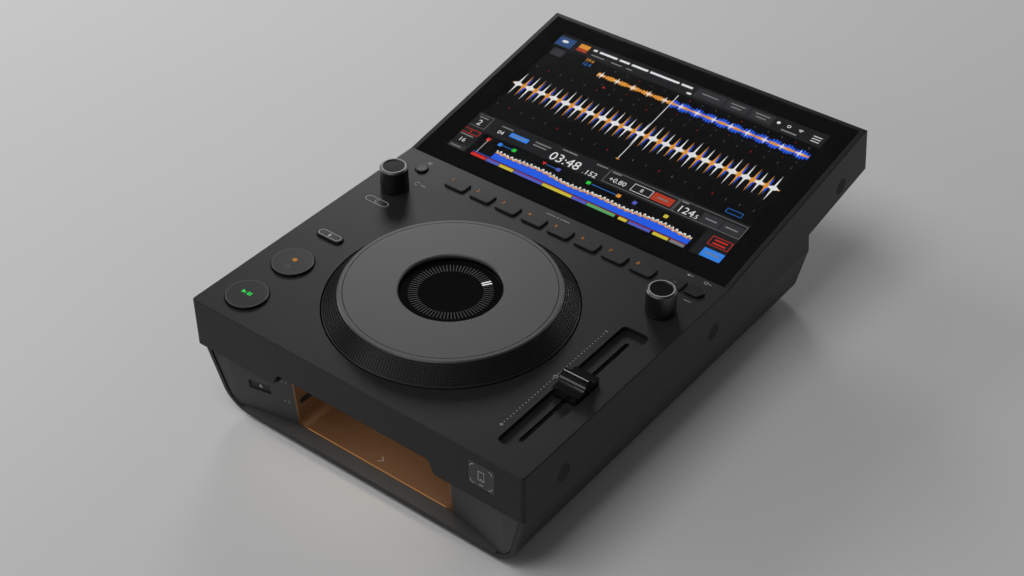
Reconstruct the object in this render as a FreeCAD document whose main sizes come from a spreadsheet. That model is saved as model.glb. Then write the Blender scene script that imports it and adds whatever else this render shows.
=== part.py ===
import FreeCAD, Part
import math
import os
import Sketcher

# A desktop media player: a bent, flat upper case with a jog wheel and a tilted touch screen,
# standing on a tapered base whose open front holds a bay with two data ports.
# +X is to the player's right, +Y to its back, +Z up. The origin is under the middle of the
# case, on the surface it stands on. Lengths are in millimetres, angles in degrees.

Vector = FreeCAD.Vector
doc = FreeCAD.newDocument("media_player")
sheet = doc.addObject("Spreadsheet::Sheet", "sizes")
sheet_rows = []


class Size:
    """A number together with the formula that keeps it tied to the sheet."""

    def __init__(self, number, formula):
        self.number = float(number)
        self.formula = formula

    def joined(self, other, sign, number):
        return Size(number, "(%s %s %s)" % (self.formula, sign, other.formula))

    def __add__(self, other):
        other = size_of(other)
        return self.joined(other, "+", self.number + other.number)

    def __sub__(self, other):
        other = size_of(other)
        return self.joined(other, "-", self.number - other.number)

    def __mul__(self, other):
        other = size_of(other)
        return self.joined(other, "*", self.number * other.number)

    def __truediv__(self, other):
        other = size_of(other)
        return self.joined(other, "/", self.number / other.number)

    def __radd__(self, other):
        return size_of(other) + self

    def __rsub__(self, other):
        return size_of(other) - self

    def __rmul__(self, other):
        return size_of(other) * self

    def __neg__(self):
        return size_of(0) - self


def size_of(value):
    if isinstance(value, Size):
        return value
    return Size(value, "(%s)" % repr(float(value)))


def sine(angle):
    return Size(math.sin(math.radians(angle.number)), "sin(%s)" % angle.formula)


def cosine(angle):
    return Size(math.cos(math.radians(angle.number)), "cos(%s)" % angle.formula)


def tangent(angle):
    return Size(math.tan(math.radians(angle.number)), "tan(%s)" % angle.formula)


def size(alias, number):
    """Writes one driving size into the sheet and gives it back for use in formulas."""
    sheet_rows.append(alias)
    row = str(len(sheet_rows))
    sheet.set("A" + row, alias)
    sheet.set("B" + row, str(number))
    sheet.setAlias("B" + row, alias)
    return Size(number, "sizes." + alias)


# Upper case
case_width = size("case_width", 254.0)
deck_length = size("deck_length", 206.0)
screen_length = size("screen_length", 168.0)
screen_tilt = size("screen_tilt", 10.1)
slab_thick = size("slab_thick", 34.7)
cover_wall = size("cover_wall", 2.5)
case_corner = size("case_corner", 2.5)
case_edge = size("case_edge", 0.6)
front_flange = size("front_flange", 13.0)
plug_radius = size("plug_radius", 5.75)

# Base
foot_height = size("foot_height", 3.5)
foot_radius = size("foot_radius", 9.0)
base_drop = size("base_drop", 49.3)
base_inset = size("base_inset", 1.8)
base_taper = size("base_taper", 15.0)
base_corner = size("base_corner", 19.0)
base_wall = size("base_wall", 3.0)
base_floor = size("base_floor", 2.8)
base_setback = size("base_setback", 3.5)
base_back = size("base_back", 97.8)
rim_slant = size("rim_slant", 3.9)

# Front panel and bay
wing_yaw = size("wing_yaw", 11.4)
wing_wall = size("wing_wall", 2.0)
wing_recess = size("wing_recess", 1.0)
panel_gap = size("panel_gap", 0.7)
ledge_thick = size("ledge_thick", 1.2)
bay_half = size("bay_half", 60.5)
bay_back = size("bay_back", 46.0)
bay_roof_drop = size("bay_roof_drop", 27.0)
bay_wall = size("bay_wall", 1.6)
bay_corner = size("bay_corner", 6.0)
notch_half = size("notch_half", 63.0)
notch_height = size("notch_height", 9.4)
notch_slope = size("notch_slope", 4.6)
notch_corner = size("notch_corner", 3.5)
port_front = size("port_front", 18.0)
port_length = size("port_length", 13.0)
port_height = size("port_height", 6.2)
port_depth = size("port_depth", 14.0)
port_low_drop = size("port_low_drop", 60.8)
port_high_drop = size("port_high_drop", 44.2)
port_sheet = size("port_sheet", 0.5)
tongue_thick = size("tongue_thick", 1.8)
eject_left = size("eject_left", 32.4)
eject_width = size("eject_width", 15.6)
eject_top_drop = size("eject_top_drop", 53.8)
eject_height = size("eject_height", 7.2)
eject_sink = size("eject_sink", 1.2)

# Reader window in the front edge
reader_left = size("reader_left", 214.8)
reader_width = size("reader_width", 18.6)
reader_height = size("reader_height", 18.1)
reader_drop = size("reader_drop", 7.1)

# Touch screen
glass_margin = size("glass_margin", 3.8)
glass_length = size("glass_length", 164.5)
glass_thick = size("glass_thick", 1.5)
picture_width = size("picture_width", 218.0)
picture_low = size("picture_low", 15.5)
picture_length = size("picture_length", 136.7)
screen_frame = size("screen_frame", 4.0)
screen_depth = size("screen_depth", 5.0)

# Jog wheel
jog_back = size("jog_back", 93.5)
jog_hole = size("jog_hole", 79.2)
jog_radius = size("jog_radius", 78.2)
jog_top_radius = size("jog_top_radius", 67.7)
jog_height = size("jog_height", 11.4)
jog_groove = size("jog_groove", 0.4)
plate_radius = size("plate_radius", 64.9)
plate_thick = size("plate_thick", 2.5)
display_hole = size("display_hole", 31.8)
display_sink = size("display_sink", 3.4)
shaft_radius = size("shaft_radius", 9.0)
well_depth = size("well_depth", 22.0)
well_wall = size("well_wall", 2.0)
flute_count = 60
flute_width = size("flute_width", 3.2)
flute_depth = size("flute_depth", 0.7)

# Keys and knobs
key_clear = size("key_clear", 0.4)
key_rise = size("key_rise", 1.5)
key_lip = size("key_lip", 1.0)
key_travel = size("key_travel", 0.8)
key_edge = size("key_edge", 0.5)
left_column = size("left_column", 24.9)
round_key = size("round_key", 13.5)
play_back = size("play_back", 22.8)
cue_back = size("cue_back", 63.1)
shift_back = size("shift_back", 97.3)
shift_width = size("shift_width", 20.0)
shift_depth = size("shift_depth", 7.2)
small_key = size("small_key", 4.0)
small_key_left = size("small_key_left", 22.9)
pad_width = size("pad_width", 16.1)
pad_depth = size("pad_depth", 10.2)
pad_pitch = size("pad_pitch", 21.1)
pad_corner = size("pad_corner", 2.0)
pad_row = size("pad_row", 190.0)
pad_count = 8
twin_left = size("twin_left", 219.2)
twin_width = size("twin_width", 11.5)
twin_depth = size("twin_depth", 8.4)
twin_gap = size("twin_gap", 2.7)
knob_radius = size("knob_radius", 9.5)
knob_height = size("knob_height", 17.3)
knob_spread = size("knob_spread", 105.0)
knob_back = size("knob_back", 163.5)
knob_gap = size("knob_gap", 0.9)
knob_push = size("knob_push", 0.6)
knob_ribs = 36
knob_shaft = size("knob_shaft", 3.0)
running_fit = size("running_fit", 0.05)
seat_gap = size("seat_gap", 0.3)

# Tempo fader
fader_right = size("fader_right", 21.9)
fader_middle = size("fader_middle", 77.3)
fader_width = size("fader_width", 19.0)
fader_span = size("fader_span", 123.7)
fader_corner = size("fader_corner", 3.5)
fader_floor = size("fader_floor", 3.0)
fader_travel = size("fader_travel", 50.0)
slot_width = size("slot_width", 3.0)
cap_width = size("cap_width", 17.7)
cap_length = size("cap_length", 22.6)
cap_top = size("cap_top", 8.8)
cap_low = size("cap_low", 1.0)
cap_dip_radius = size("cap_dip_radius", 7.0)
cap_dip_back = size("cap_dip_back", 8.9)
cap_dip_rise = size("cap_dip_rise", 10.2)

# Boards and rear sockets
board_thick = size("board_thick", 1.6)
board_drop = size("board_drop", 12.0)
switch_height = size("switch_height", 4.0)
standoff_height = size("standoff_height", 6.0)
jack_radius = size("jack_radius", 4.15)
jack_length = size("jack_length", 9.0)
socket_clear = size("socket_clear", 0.2)

# Places that follow from the sizes
lean_sine = sine(screen_tilt)
lean_cosine = cosine(screen_tilt)
case_depth = deck_length + screen_length * lean_cosine + slab_thick * lean_sine
front = -(case_depth / 2)
fold = front + deck_length
under = foot_height + base_drop
deck = under + slab_thick
side = case_width / 2
cover_inside = deck - cover_wall
jog_y = front + jog_back


def slab_point(along, drop):
    """A (y, z) point of the tilted half: along its top from the fold, then square to it."""
    return (fold + along * lean_cosine + drop * lean_sine,
            deck + along * lean_sine - drop * lean_cosine)


def fold_point(drop):
    """The (y, z) point where the two halves of the bent case meet, at a depth below the top."""
    return (fold + drop * tangent(screen_tilt / 2), deck - drop)


# Tools to make solids from bound sketches
PLANE_AXES = {"XY": (0, 1, 2), "XZ": (0, 2, 1), "YZ": (1, 2, 0)}
nodes = []


def bind(item, path, value):
    item.setExpression(path, size_of(value).formula)


def name_node(item, label):
    item.Label = label
    nodes.append(item)
    return item


def new_body(label):
    return name_node(doc.addObject("PartDesign::Body", label), label)


def new_sketch(body, plane, origin, lean=None):
    """A sketch on a plane of the body, moved to origin and leaned about the X axis."""
    sketch = body.newObject("Sketcher::SketchObject", "outline")
    base = [item for item in body.Origin.OriginFeatures if item.Role == plane + "_Plane"][0]
    sketch.AttachmentSupport = (base, [""])
    sketch.MapMode = "FlatFace"
    place = [size_of(origin[axis]) for axis in PLANE_AXES[plane]]
    if plane == "XZ":
        place[2] = -place[2]
    angle = lean.number if lean else 0
    shift = Vector(*[value.number for value in place])
    sketch.AttachmentOffset = FreeCAD.Placement(shift, FreeCAD.Rotation(Vector(1, 0, 0), angle))
    for axis, value in zip("xyz", place):
        bind(sketch, "AttachmentOffset.Base." + axis, value)
    if lean:
        bind(sketch, "AttachmentOffset.Rotation.Angle", lean)
    return sketch


def hold(sketch, kind, where, value):
    """Adds one dimension to the sketch and ties it to its size."""
    index = sketch.addConstraint(Sketcher.Constraint(kind, *where, value.number))
    sketch.setExpression("Constraints[%d]" % index, value.formula)


def line(sketch, start, end):
    return sketch.addGeometry(Part.LineSegment(Vector(*start, 0), Vector(*end, 0)))


def arc(sketch, middle, radius, start, turn=90):
    ring = Part.Circle(Vector(*middle, 0), Vector(0, 0, 1), radius)
    ends = (math.radians(start), math.radians(start + turn))
    return sketch.addGeometry(Part.ArcOfCircle(ring, *ends))


def polygon(*corners):
    """A closed outline through corners, each held by its two coordinates."""
    corners = [(size_of(u), size_of(v)) for u, v in corners]

    def draw(sketch):
        points = [(u.number, v.number) for u, v in corners]
        sides = [line(sketch, a, b) for a, b in zip(points, points[1:] + points[:1])]
        for number, (u, v) in enumerate(corners):
            following = sides[(number + 1) % len(sides)]
            sketch.addConstraint(Sketcher.Constraint("Coincident", sides[number], 2, following, 1))
            hold(sketch, "DistanceX", (sides[number], 1), u)
            hold(sketch, "DistanceY", (sides[number], 1), v)
    return draw


def rectangle(left, right, low, high):
    return polygon((left, low), (right, low), (right, high), (left, high))


def circle(u, v, radius):
    u, v, radius = size_of(u), size_of(v), size_of(radius)

    def draw(sketch):
        ring = Part.Circle(Vector(u.number, v.number, 0), Vector(0, 0, 1), radius.number)
        index = sketch.addGeometry(ring)
        hold(sketch, "Radius", (index,), radius)
        hold(sketch, "DistanceX", (index, 3), u)
        hold(sketch, "DistanceY", (index, 3), v)
    return draw


def rounded(left, right, low, high, corner):
    """A rectangle with four round corners."""
    left, right, low, high, corner = [size_of(v) for v in (left, right, low, high, corner)]

    def draw(sketch):
        a, b, c, d, r = [v.number for v in (left, right, low, high, corner)]
        loop = [
            line(sketch, (a + r, c), (b - r, c)), arc(sketch, (b - r, c + r), r, 270),
            line(sketch, (b, c + r), (b, d - r)), arc(sketch, (b - r, d - r), r, 0),
            line(sketch, (b - r, d), (a + r, d)), arc(sketch, (a + r, d - r), r, 90),
            line(sketch, (a, d - r), (a, c + r)), arc(sketch, (a + r, c + r), r, 180)]
        for number, edge in enumerate(loop):
            sketch.addConstraint(Sketcher.Constraint("Tangent", edge, 2, loop[(number + 1) % 8], 1))
        for bend in (1, 3, 5):
            sketch.addConstraint(Sketcher.Constraint("Equal", loop[bend], loop[7]))
        for number, way in zip((0, 2, 4, 6), ("Horizontal", "Vertical") * 2):
            sketch.addConstraint(Sketcher.Constraint(way, loop[number]))
        hold(sketch, "Radius", (loop[7],), corner)
        hold(sketch, "DistanceX", (loop[6], 1), left)
        hold(sketch, "DistanceX", (loop[2], 1), right)
        hold(sketch, "DistanceY", (loop[0], 1), low)
        hold(sketch, "DistanceY", (loop[4], 1), high)
    return draw


def half_pill(square_end, round_end, low, high):
    """A bar with one square end and one half-round end."""
    square_end, round_end, low, high = [size_of(v) for v in (square_end, round_end, low, high)]
    radius = (high - low) / 2
    way = 1 if round_end.number > square_end.number else -1
    middle = round_end - way * radius

    def draw(sketch):
        a, m, c, d = [v.number for v in (square_end, middle, low, high)]
        centre = (m, (c + d) / 2)
        if way > 0:
            loop = [line(sketch, (a, c), (m, c)), arc(sketch, centre, radius.number, 270, 180),
                    line(sketch, (m, d), (a, d)), line(sketch, (a, d), (a, c))]
        else:
            loop = [line(sketch, (a, d), (m, d)), arc(sketch, centre, radius.number, 90, 180),
                    line(sketch, (m, c), (a, c)), line(sketch, (a, c), (a, d))]
        joints = ("Tangent", "Tangent", "Coincident", "Coincident")
        for number, joint in enumerate(joints):
            ends = (loop[number], 2, loop[(number + 1) % 4], 1)
            sketch.addConstraint(Sketcher.Constraint(joint, *ends))
        sketch.addConstraint(Sketcher.Constraint("Horizontal", loop[0]))
        sketch.addConstraint(Sketcher.Constraint("Horizontal", loop[2]))
        sketch.addConstraint(Sketcher.Constraint("Vertical", loop[3]))
        hold(sketch, "DistanceX", (loop[0], 1), square_end)
        hold(sketch, "DistanceX", (loop[1], 3), middle)
        hold(sketch, "DistanceY", (loop[0], 1), low if way > 0 else high)
        hold(sketch, "DistanceY", (loop[2], 1), high if way > 0 else low)
    return draw


def feature(body, kind, plane, start, length, outlines, origin=(0, 0, 0), lean=None):
    depth_axis = PLANE_AXES[plane][2]
    place = list(origin)
    place[depth_axis] = size_of(place[depth_axis]) + start
    if lean:
        place = leaned_origin(plane, origin, start)
    sketch = new_sketch(body, plane, place, lean)
    for outline in outlines:
        outline(sketch)
    item = body.newObject("PartDesign::" + kind, kind.lower())
    item.Profile = sketch
    bind(item, "Length", length)
    return item


def leaned_origin(plane, origin, start):
    """Moves a leaned sketch along its own normal or against it."""
    x, y, z = [size_of(value) for value in origin]
    start = size_of(start)
    if plane == "XY":
        return [x, y - start * lean_sine, z + start * lean_cosine]
    return [x, y + start * lean_cosine, z + start * lean_sine]


def add(body, plane, low, high, *outlines, **where):
    """Extrudes outlines between two levels along the plane's axis."""
    low, high = size_of(low), size_of(high)
    start = high if plane == "XZ" else low
    return feature(body, "Pad", plane, start, high - low, outlines, **where)


def cut(body, plane, low, high, *outlines, **where):
    """Removes outlines between two levels along the plane's axis."""
    low, high = size_of(low), size_of(high)
    start = low if plane == "XZ" else high
    return feature(body, "Pocket", plane, start, high - low, outlines, **where)


def turn(body, centre_x, centre_y, *points):
    """Revolves an outline of (radius, height) points about an upright axis."""
    sketch = new_sketch(body, "XZ", (centre_x, centre_y, 0))
    polygon(*points)(sketch)
    item = body.newObject("PartDesign::Revolution", "revolution")
    item.Profile = sketch
    item.ReferenceAxis = (sketch, ["V_Axis"])
    item.Angle = 360
    return sketch


def repeat_round(body, original, axis_sketch, count):
    pattern = body.newObject("PartDesign::PolarPattern", "round_pattern")
    pattern.Originals = [original]
    pattern.Axis = (axis_sketch, ["V_Axis"])
    pattern.Angle = 360
    pattern.Occurrences = count
    body.Tip = pattern


def soften(body, kind, amount, wanted):
    """Rounds or chamfers each edge of the body that the test picks."""
    doc.recompute()
    base = body.Tip
    edges = ["Edge%d" % (number + 1) for number, edge in enumerate(base.Shape.Edges) if wanted(edge)]
    if not edges:
        raise ValueError("no edge to soften on " + body.Label)
    item = body.newObject("PartDesign::" + kind, kind.lower())
    item.Base = (base, edges)
    bind(item, "Radius" if kind == "Fillet" else "Size", amount)
    return item


def runs_along(edge, axis):
    spread = [edge.BoundBox.XLength, edge.BoundBox.YLength, edge.BoundBox.ZLength]
    long = spread.pop(axis)
    return long > 0.5 and max(spread) < 0.001


def flat_at(edge, level):
    box = edge.BoundBox
    return abs(box.ZMin - level.number) < 0.001 and abs(box.ZMax - level.number) < 0.001


def place_item(item, base, lean=None):
    """Sets a placement whose parts follow the sizes."""
    base = [size_of(value) for value in base]
    turned = FreeCAD.Rotation(Vector(1, 0, 0), lean.number if lean else 0)
    item.Placement = FreeCAD.Placement(Vector(*[value.number for value in base]), turned)
    for axis, value in zip("xyz", base):
        bind(item, "Placement.Base." + axis, value)
    if lean:
        bind(item, "Placement.Rotation.Angle", lean)


def block(left, right, near, far, low, high):
    item = doc.addObject("Part::Box", "block")
    bind(item, "Length", size_of(right) - left)
    bind(item, "Width", size_of(far) - near)
    bind(item, "Height", size_of(high) - low)
    place_item(item, (left, near, low))
    return item


def rod(x, y, low, high, radius):
    item = doc.addObject("Part::Cylinder", "rod")
    bind(item, "Radius", radius)
    bind(item, "Height", size_of(high) - low)
    place_item(item, (x, y, low))
    return item


def minus(base, tool):
    item = doc.addObject("Part::Cut", "cut")
    item.Base = base
    item.Tool = tool
    return item


def plus(*pieces):
    item = doc.addObject("Part::MultiFuse", "fuse")
    item.Shapes = list(pieces)
    return item


def group(label, pieces):
    item = doc.addObject("Part::Compound", label)
    item.Links = list(pieces)
    return name_node(item, label)


# Upper case: a bent hollow slab
def slab_profile(inset):
    return polygon(
        (front + inset, under + inset),
        fold_point(slab_thick - inset),
        slab_point(screen_length - inset, slab_thick - inset),
        slab_point(screen_length - inset, inset),
        fold_point(inset),
        (front + inset, deck - inset))


cover = new_body("top_cover")
add(cover, "YZ", -side, side, slab_profile(size_of(0)))
soften(cover, "Fillet", case_corner, lambda edge: runs_along(edge, 2))


def on_top_rim(edge):
    """The outer edges of the deck and of the tilted half, without the fold itself."""
    box = edge.BoundBox
    is_fold = box.XLength > case_width.number / 2 and abs(box.YMin - fold.number) < 0.01
    middle = edge.CenterOfMass
    rise = (middle.y - fold.number) * math.tan(math.radians(screen_tilt.number))
    level = deck.number + max(rise, 0)
    return abs(middle.z - level) < 0.05 and not is_fold


soften(cover, "Chamfer", case_edge, on_top_rim)
cut(cover, "YZ", cover_wall - side, side - cover_wall, slab_profile(cover_wall))

# The opening in the underside, where the base joins on
opening_half = side - base_inset - base_wall
opening_back = slab_point(base_back - base_wall, slab_thick)[0]
opening_top = slab_point(base_back, slab_thick)[1] + cover_wall
cut(cover, "XY", under - 1, opening_top,
    rectangle(-opening_half, opening_half, front + front_flange, opening_back))

# Holes in the deck
pad_first = -(pad_pitch * (pad_count - 1) / 2) + 0.6
pad_places = [pad_first + pad_pitch * number for number in range(pad_count)]
left_x = left_column - side
small_x = small_key_left - side
fader_x = side - fader_right
fader_y = front + fader_middle
twin_x = twin_left - side
twin_middle = twin_x + twin_width + twin_gap / 2
keys_row = front + pad_row
twin_low = keys_row - twin_depth + 5.1
twin_high = keys_row + 5.1


def pad_outline(x, spare):
    half_x = pad_width / 2 + spare
    half_y = pad_depth / 2 + spare
    return rounded(x - half_x, x + half_x, keys_row - half_y, keys_row + half_y, pad_corner + spare)


def shift_outline(spare):
    half_x = shift_width / 2 + spare
    half_y = shift_depth / 2 + spare
    middle = front + shift_back
    corner = half_y - 0.05
    return rounded(left_x - half_x, left_x + half_x, middle - half_y, middle + half_y, corner)


def twin_outline(way, spare):
    """One key of the twin pair beside the pads: way is -1 for the left one, 1 for the right."""
    inner = twin_middle + way * (twin_gap / 2 - spare)
    outer = twin_middle + way * (twin_gap / 2 + twin_width + spare)
    return half_pill(inner, outer, twin_low - spare, twin_high + spare)


def fader_outline(spare):
    half_x = fader_width / 2 + spare
    half_y = fader_span / 2 + spare
    return rounded(fader_x - half_x, fader_x + half_x, fader_y - half_y, fader_y + half_y,
                   fader_corner + spare)


deck_cut = [circle(0, jog_y, jog_hole), shift_outline(key_clear), fader_outline(size_of(0)),
            circle(small_x, keys_row, small_key + key_clear + 0.4),
            twin_outline(-1, key_clear), twin_outline(1, key_clear)]
deck_cut += [circle(left_x, front + back, round_key + key_clear + 0.2) for back in (play_back, cue_back)]
deck_cut += [pad_outline(x, key_clear) for x in pad_places]
bushing_radius = knob_shaft + 1.5
deck_cut += [circle(way * knob_spread, front + knob_back, bushing_radius + 0.2) for way in (-1, 1)]
for outline in deck_cut:
    cut(cover, "XY", cover_inside - 1, deck + 1, outline)

# Notch over the bay, the room behind it, and the reader window's hole
notch_top = under + notch_height
notch_cut = cut(cover, "XZ", front - 1, front + cover_wall,
                polygon((-notch_half, under - 1), (notch_half, under - 1), (notch_half, under),
                        (notch_half - notch_slope, notch_top), (notch_slope - notch_half, notch_top),
                        (-notch_half, under)))
soften(cover, "Fillet", notch_corner,
       lambda edge: runs_along(edge, 1) and edge.BoundBox.YMax < front.number + 4
       and abs(edge.BoundBox.ZMin - notch_top.number) < 0.001)
liner_half = bay_half + bay_wall
cut(cover, "XY", under - 1, under + cover_wall,
    rectangle(-liner_half, liner_half, front + cover_wall - 1, front + front_flange + 1))
reader_x = reader_left - side
cut(cover, "XZ", front - 1, front + cover_wall,
    rounded(reader_x, reader_x + reader_width, deck - reader_drop - reader_height,
            deck - reader_drop, 1))

# Plugged screw holes in both sides
plug_spots = [(front + 36.8, deck - 23.1), (front + 191.1, deck - 23.8), slab_point(135, 24.2)]
cut(cover, "YZ", -side - 1, side + 1, *[circle(y, z, plug_radius + 0.1) for y, z in plug_spots])

# Seat of the screen glass and the window under it
glass_half = side - glass_margin
screen_place = dict(origin=(0, fold, deck), lean=screen_tilt)
cut(cover, "XY", -glass_thick, 1,
    rectangle(-glass_half - 0.1, glass_half + 0.1, 0, glass_length + 0.1), **screen_place)
picture_half = picture_width / 2
cut(cover, "XY", -cover_wall - 1, 1,
    rectangle(-picture_half, picture_half, picture_low, picture_low + picture_length),
    **screen_place)

# Posts that carry the boards under the keys
board_top = deck - board_drop
left_posts = [(6 - side + 2, front + back) for back in (43, 84, 112)]
row_posts = [(x, keys_row + 9.5) for x in (-side + 14, size_of(0), side - 22)]
add(cover, "XY", board_top, cover_inside + 0.5, *[circle(x, y, 2.4) for x, y in left_posts + row_posts])

# Base: a tapered tray with an open front, whose back stands square to the tilted half
taper = tangent(base_taper)
base_top_half = side - base_inset
base_low_half = base_top_half - base_drop * taper
floor_top = foot_height + base_floor
base_front = front + base_setback
ridge = slab_point(base_back, slab_thick)[1] + 3
base_end = slab_point(base_back, slab_thick + base_drop + 25)[0]


def base_section(inset, floor):
    """The cross-section of the base: sides that taper to the floor, upright above the slab."""
    low_half = base_low_half - inset + (floor - foot_height) * taper
    return polygon((-low_half, floor), (low_half, floor), (base_top_half - inset, under),
                   (base_top_half - inset, ridge), (inset - base_top_half, ridge),
                   (inset - base_top_half, under))


def base_block(label, inset, floor, start, end):
    body = doc.addObject("PartDesign::Body", label)
    add(body, "XZ", start, end, base_section(inset, floor))
    soften(body, "Fillet", base_corner - inset,
           lambda edge: runs_along(edge, 1) and flat_at(edge, floor))
    return body


def cut_behind(body, along):
    """Cuts off what lies behind a plane square to the tilted half."""
    high = slab_point(along, -20)
    low = slab_point(along, slab_thick + base_drop * 2)
    cut(body, "YZ", -side - 5, side + 5,
        polygon(low, (low[0] + 60, low[1]), (low[0] + 60, high[1]), high))


base_outer = base_block("base_outer", size_of(0), foot_height, base_front, base_end)
cut_behind(base_outer, base_back)
cut(base_outer, "YZ", -side - 5, side + 5,
    polygon((front - 5, under), fold_point(slab_thick), slab_point(base_back + 30, slab_thick),
            (front + case_depth, ridge + 30), (front - 5, ridge + 30)))
cut(base_outer, "YZ", -side - 5, side + 5,
    polygon((base_front, under), (base_front + rim_slant, foot_height),
            (base_front + rim_slant, foot_height - 5), (front - 5, foot_height - 5),
            (front - 5, under)))

# Rear sockets, placed on the leaned rear wall by their middle and half sizes
wall_place = dict(origin=(0, slab_point(base_back, 0)[0], slab_point(base_back, 0)[1]),
                  lean=screen_tilt)
socket_row = -(slab_thick + 38)
sockets = {
    "power_inlet": (70, 11, 7),
    "power_button": (93, 4.5, 4),
    "lan_jack": (-45, 8, 7),
    "usb_device_jack": (-20, 6, 5.5),
}
rca_spots = (15, 30)
wall_cuts = [rounded(x - w - socket_clear, x + w + socket_clear, socket_row - h - socket_clear,
                     socket_row + h + socket_clear, 0.8) for x, w, h in sockets.values()]
wall_cuts += [circle(x, socket_row, jack_radius + socket_clear) for x in rca_spots]
wall_cuts += [rounded(-74, -67, socket_row - 1.5, socket_row + 1.5, 1.2)]
cut(base_outer, "XZ", -base_wall - 12, 5, *wall_cuts, **wall_place)

# Screw holes with sunk heads, under the board's standoffs
board_near = front + 75
board_far = front + 230
board_half = size_of(92)
screw_spots = [(x, y) for x in (-board_half + 8, board_half - 8) for y in (board_near + 8, board_far - 8)]
screw_radius = size("screw_radius", 1.5)
head_radius = size("head_radius", 3.0)
head_height = size("head_height", 1.4)
cut(base_outer, "XY", foot_height - 1, floor_top + 1,
    *[circle(x, y, screw_radius + 0.15) for x, y in screw_spots])
cut(base_outer, "XY", foot_height - 1, foot_height + head_height + 0.1,
    *[circle(x, y, head_radius + 0.2) for x, y in screw_spots])
base_room = base_block("base_room", base_wall, floor_top, base_front - 10, base_end)
cut_behind(base_room, base_back - base_wall)
name_node(minus(base_outer, base_room), "base_shell")

# Front panel: two wings that turn in towards the bay, on a narrow ledge
ledge_top = floor_top + ledge_thick
wing_knee = side - 20
yaw_slope = tangent(wing_yaw)
lean_back = rim_slant / base_drop


def rim_y(level):
    """How far back the slanted front rim of the base lies at a height."""
    return base_front + (under - level) * lean_back


def wing_y(reach, level):
    """The front face of a wing: level near the rim, then turned in towards the middle."""
    return rim_y(level) + wing_recess + (wing_knee - reach) * yaw_slope


def wing_outline(way, level):
    knee, inner, outer = wing_y(wing_knee, level), wing_y(liner_half, level), side - 1
    points = [(way * outer, knee), (way * wing_knee, knee), (way * liner_half, inner),
              (way * liner_half, inner + wing_wall), (way * wing_knee, knee + wing_wall),
              (way * outer, knee + wing_wall)]
    return polygon(*points)


panel = doc.addObject("PartDesign::Body", "panel_solid")
ledge_half = base_low_half - base_corner + 8
ledge_front = rim_y(ledge_top) + 0.3
ledge_wing = wing_y(ledge_half, ledge_top) + wing_wall
ledge_inner = wing_y(liner_half, ledge_top)
add(panel, "XY", floor_top, ledge_top,
    polygon((-ledge_half, ledge_front), (ledge_half, ledge_front), (ledge_half, ledge_wing),
            (liner_half, ledge_inner + wing_wall), (liner_half, ledge_inner),
            (-liner_half, ledge_inner), (-liner_half, ledge_inner + wing_wall),
            (-ledge_half, ledge_wing)))
for way in (-1, 1):
    lower = new_sketch(panel, "XY", (0, 0, ledge_top))
    wing_outline(way, ledge_top)(lower)
    upper = new_sketch(panel, "XY", (0, 0, under))
    wing_outline(way, under)(upper)
    wing = panel.newObject("PartDesign::AdditiveLoft", "wing")
    wing.Profile = lower
    wing.Sections = [upper]
    wing.Ruled = True
    doc.recompute()
eject_x = eject_left - side
eject_high = deck - eject_top_drop
cut(panel, "XZ", front - 1, front + 30,
    rounded(eject_x, eject_x + eject_width, eject_high - eject_height, eject_high, 0.6))
panel_room = base_block("panel_room", base_wall + panel_gap, floor_top, front - 5, front + 60)
front_panel = doc.addObject("Part::Common", "front_panel")
front_panel.Base = panel
front_panel.Tool = panel_room
name_node(front_panel, "front_panel")

# Bay for the data sticks
bay_roof = deck - bay_roof_drop
bay_end = front + bay_back
liner = new_body("bay_liner")
liner_top = bay_roof + bay_wall
add(liner, "XZ", front + cover_wall + 3, bay_end + bay_wall,
    rectangle(-liner_half, liner_half, floor_top, liner_top))
cut(liner, "XZ", front - 1, bay_end, rectangle(-bay_half, bay_half, ledge_top, bay_roof))
soften(liner, "Fillet", bay_corner,
       lambda edge: runs_along(edge, 1) and flat_at(edge, ledge_top)
       and abs(abs(edge.CenterOfMass.x) - bay_half.number) < 0.01)
liner_low = wing_y(liner_half, floor_top)
liner_high = wing_y(liner_half, liner_top + 1)
cut(liner, "YZ", -side, side,
    polygon((liner_high, liner_top + 1), (liner_low, floor_top), (liner_low, floor_top - 1),
            (front - 1, floor_top - 1), (front - 1, liner_top + 1)))
port_near = front + port_front
port_levels = [deck - drop for drop in (port_high_drop, port_low_drop)]


def port_outline(level, spare):
    half = port_height / 2 + spare
    return rectangle(port_near - spare, port_near + port_length + spare, level - half, level + half)


cut(liner, "YZ", -liner_half - 1, -bay_half, *[port_outline(level, 0.1) for level in port_levels])

# Data ports: folded metal shells open towards the bay, each with a tongue
shells = []
tongues = []
for level in port_levels:
    half = port_height / 2
    skin = block(-bay_half - port_depth, -bay_half, port_near, port_near + port_length,
                 level - half, level + half)
    room = block(port_sheet - bay_half - port_depth, 1 - bay_half, port_near + port_sheet,
                 port_near + port_length - port_sheet, level - half + port_sheet,
                 level + half - port_sheet)
    shells.append(minus(skin, room))
    tongues.append(block(port_sheet - bay_half - port_depth, -bay_half - 1, port_near + 1,
                         port_near + port_length - 1, level + 0.4, level + 0.4 + tongue_thick))
group("port_shells", shells)
group("port_tongues", tongues)

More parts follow.
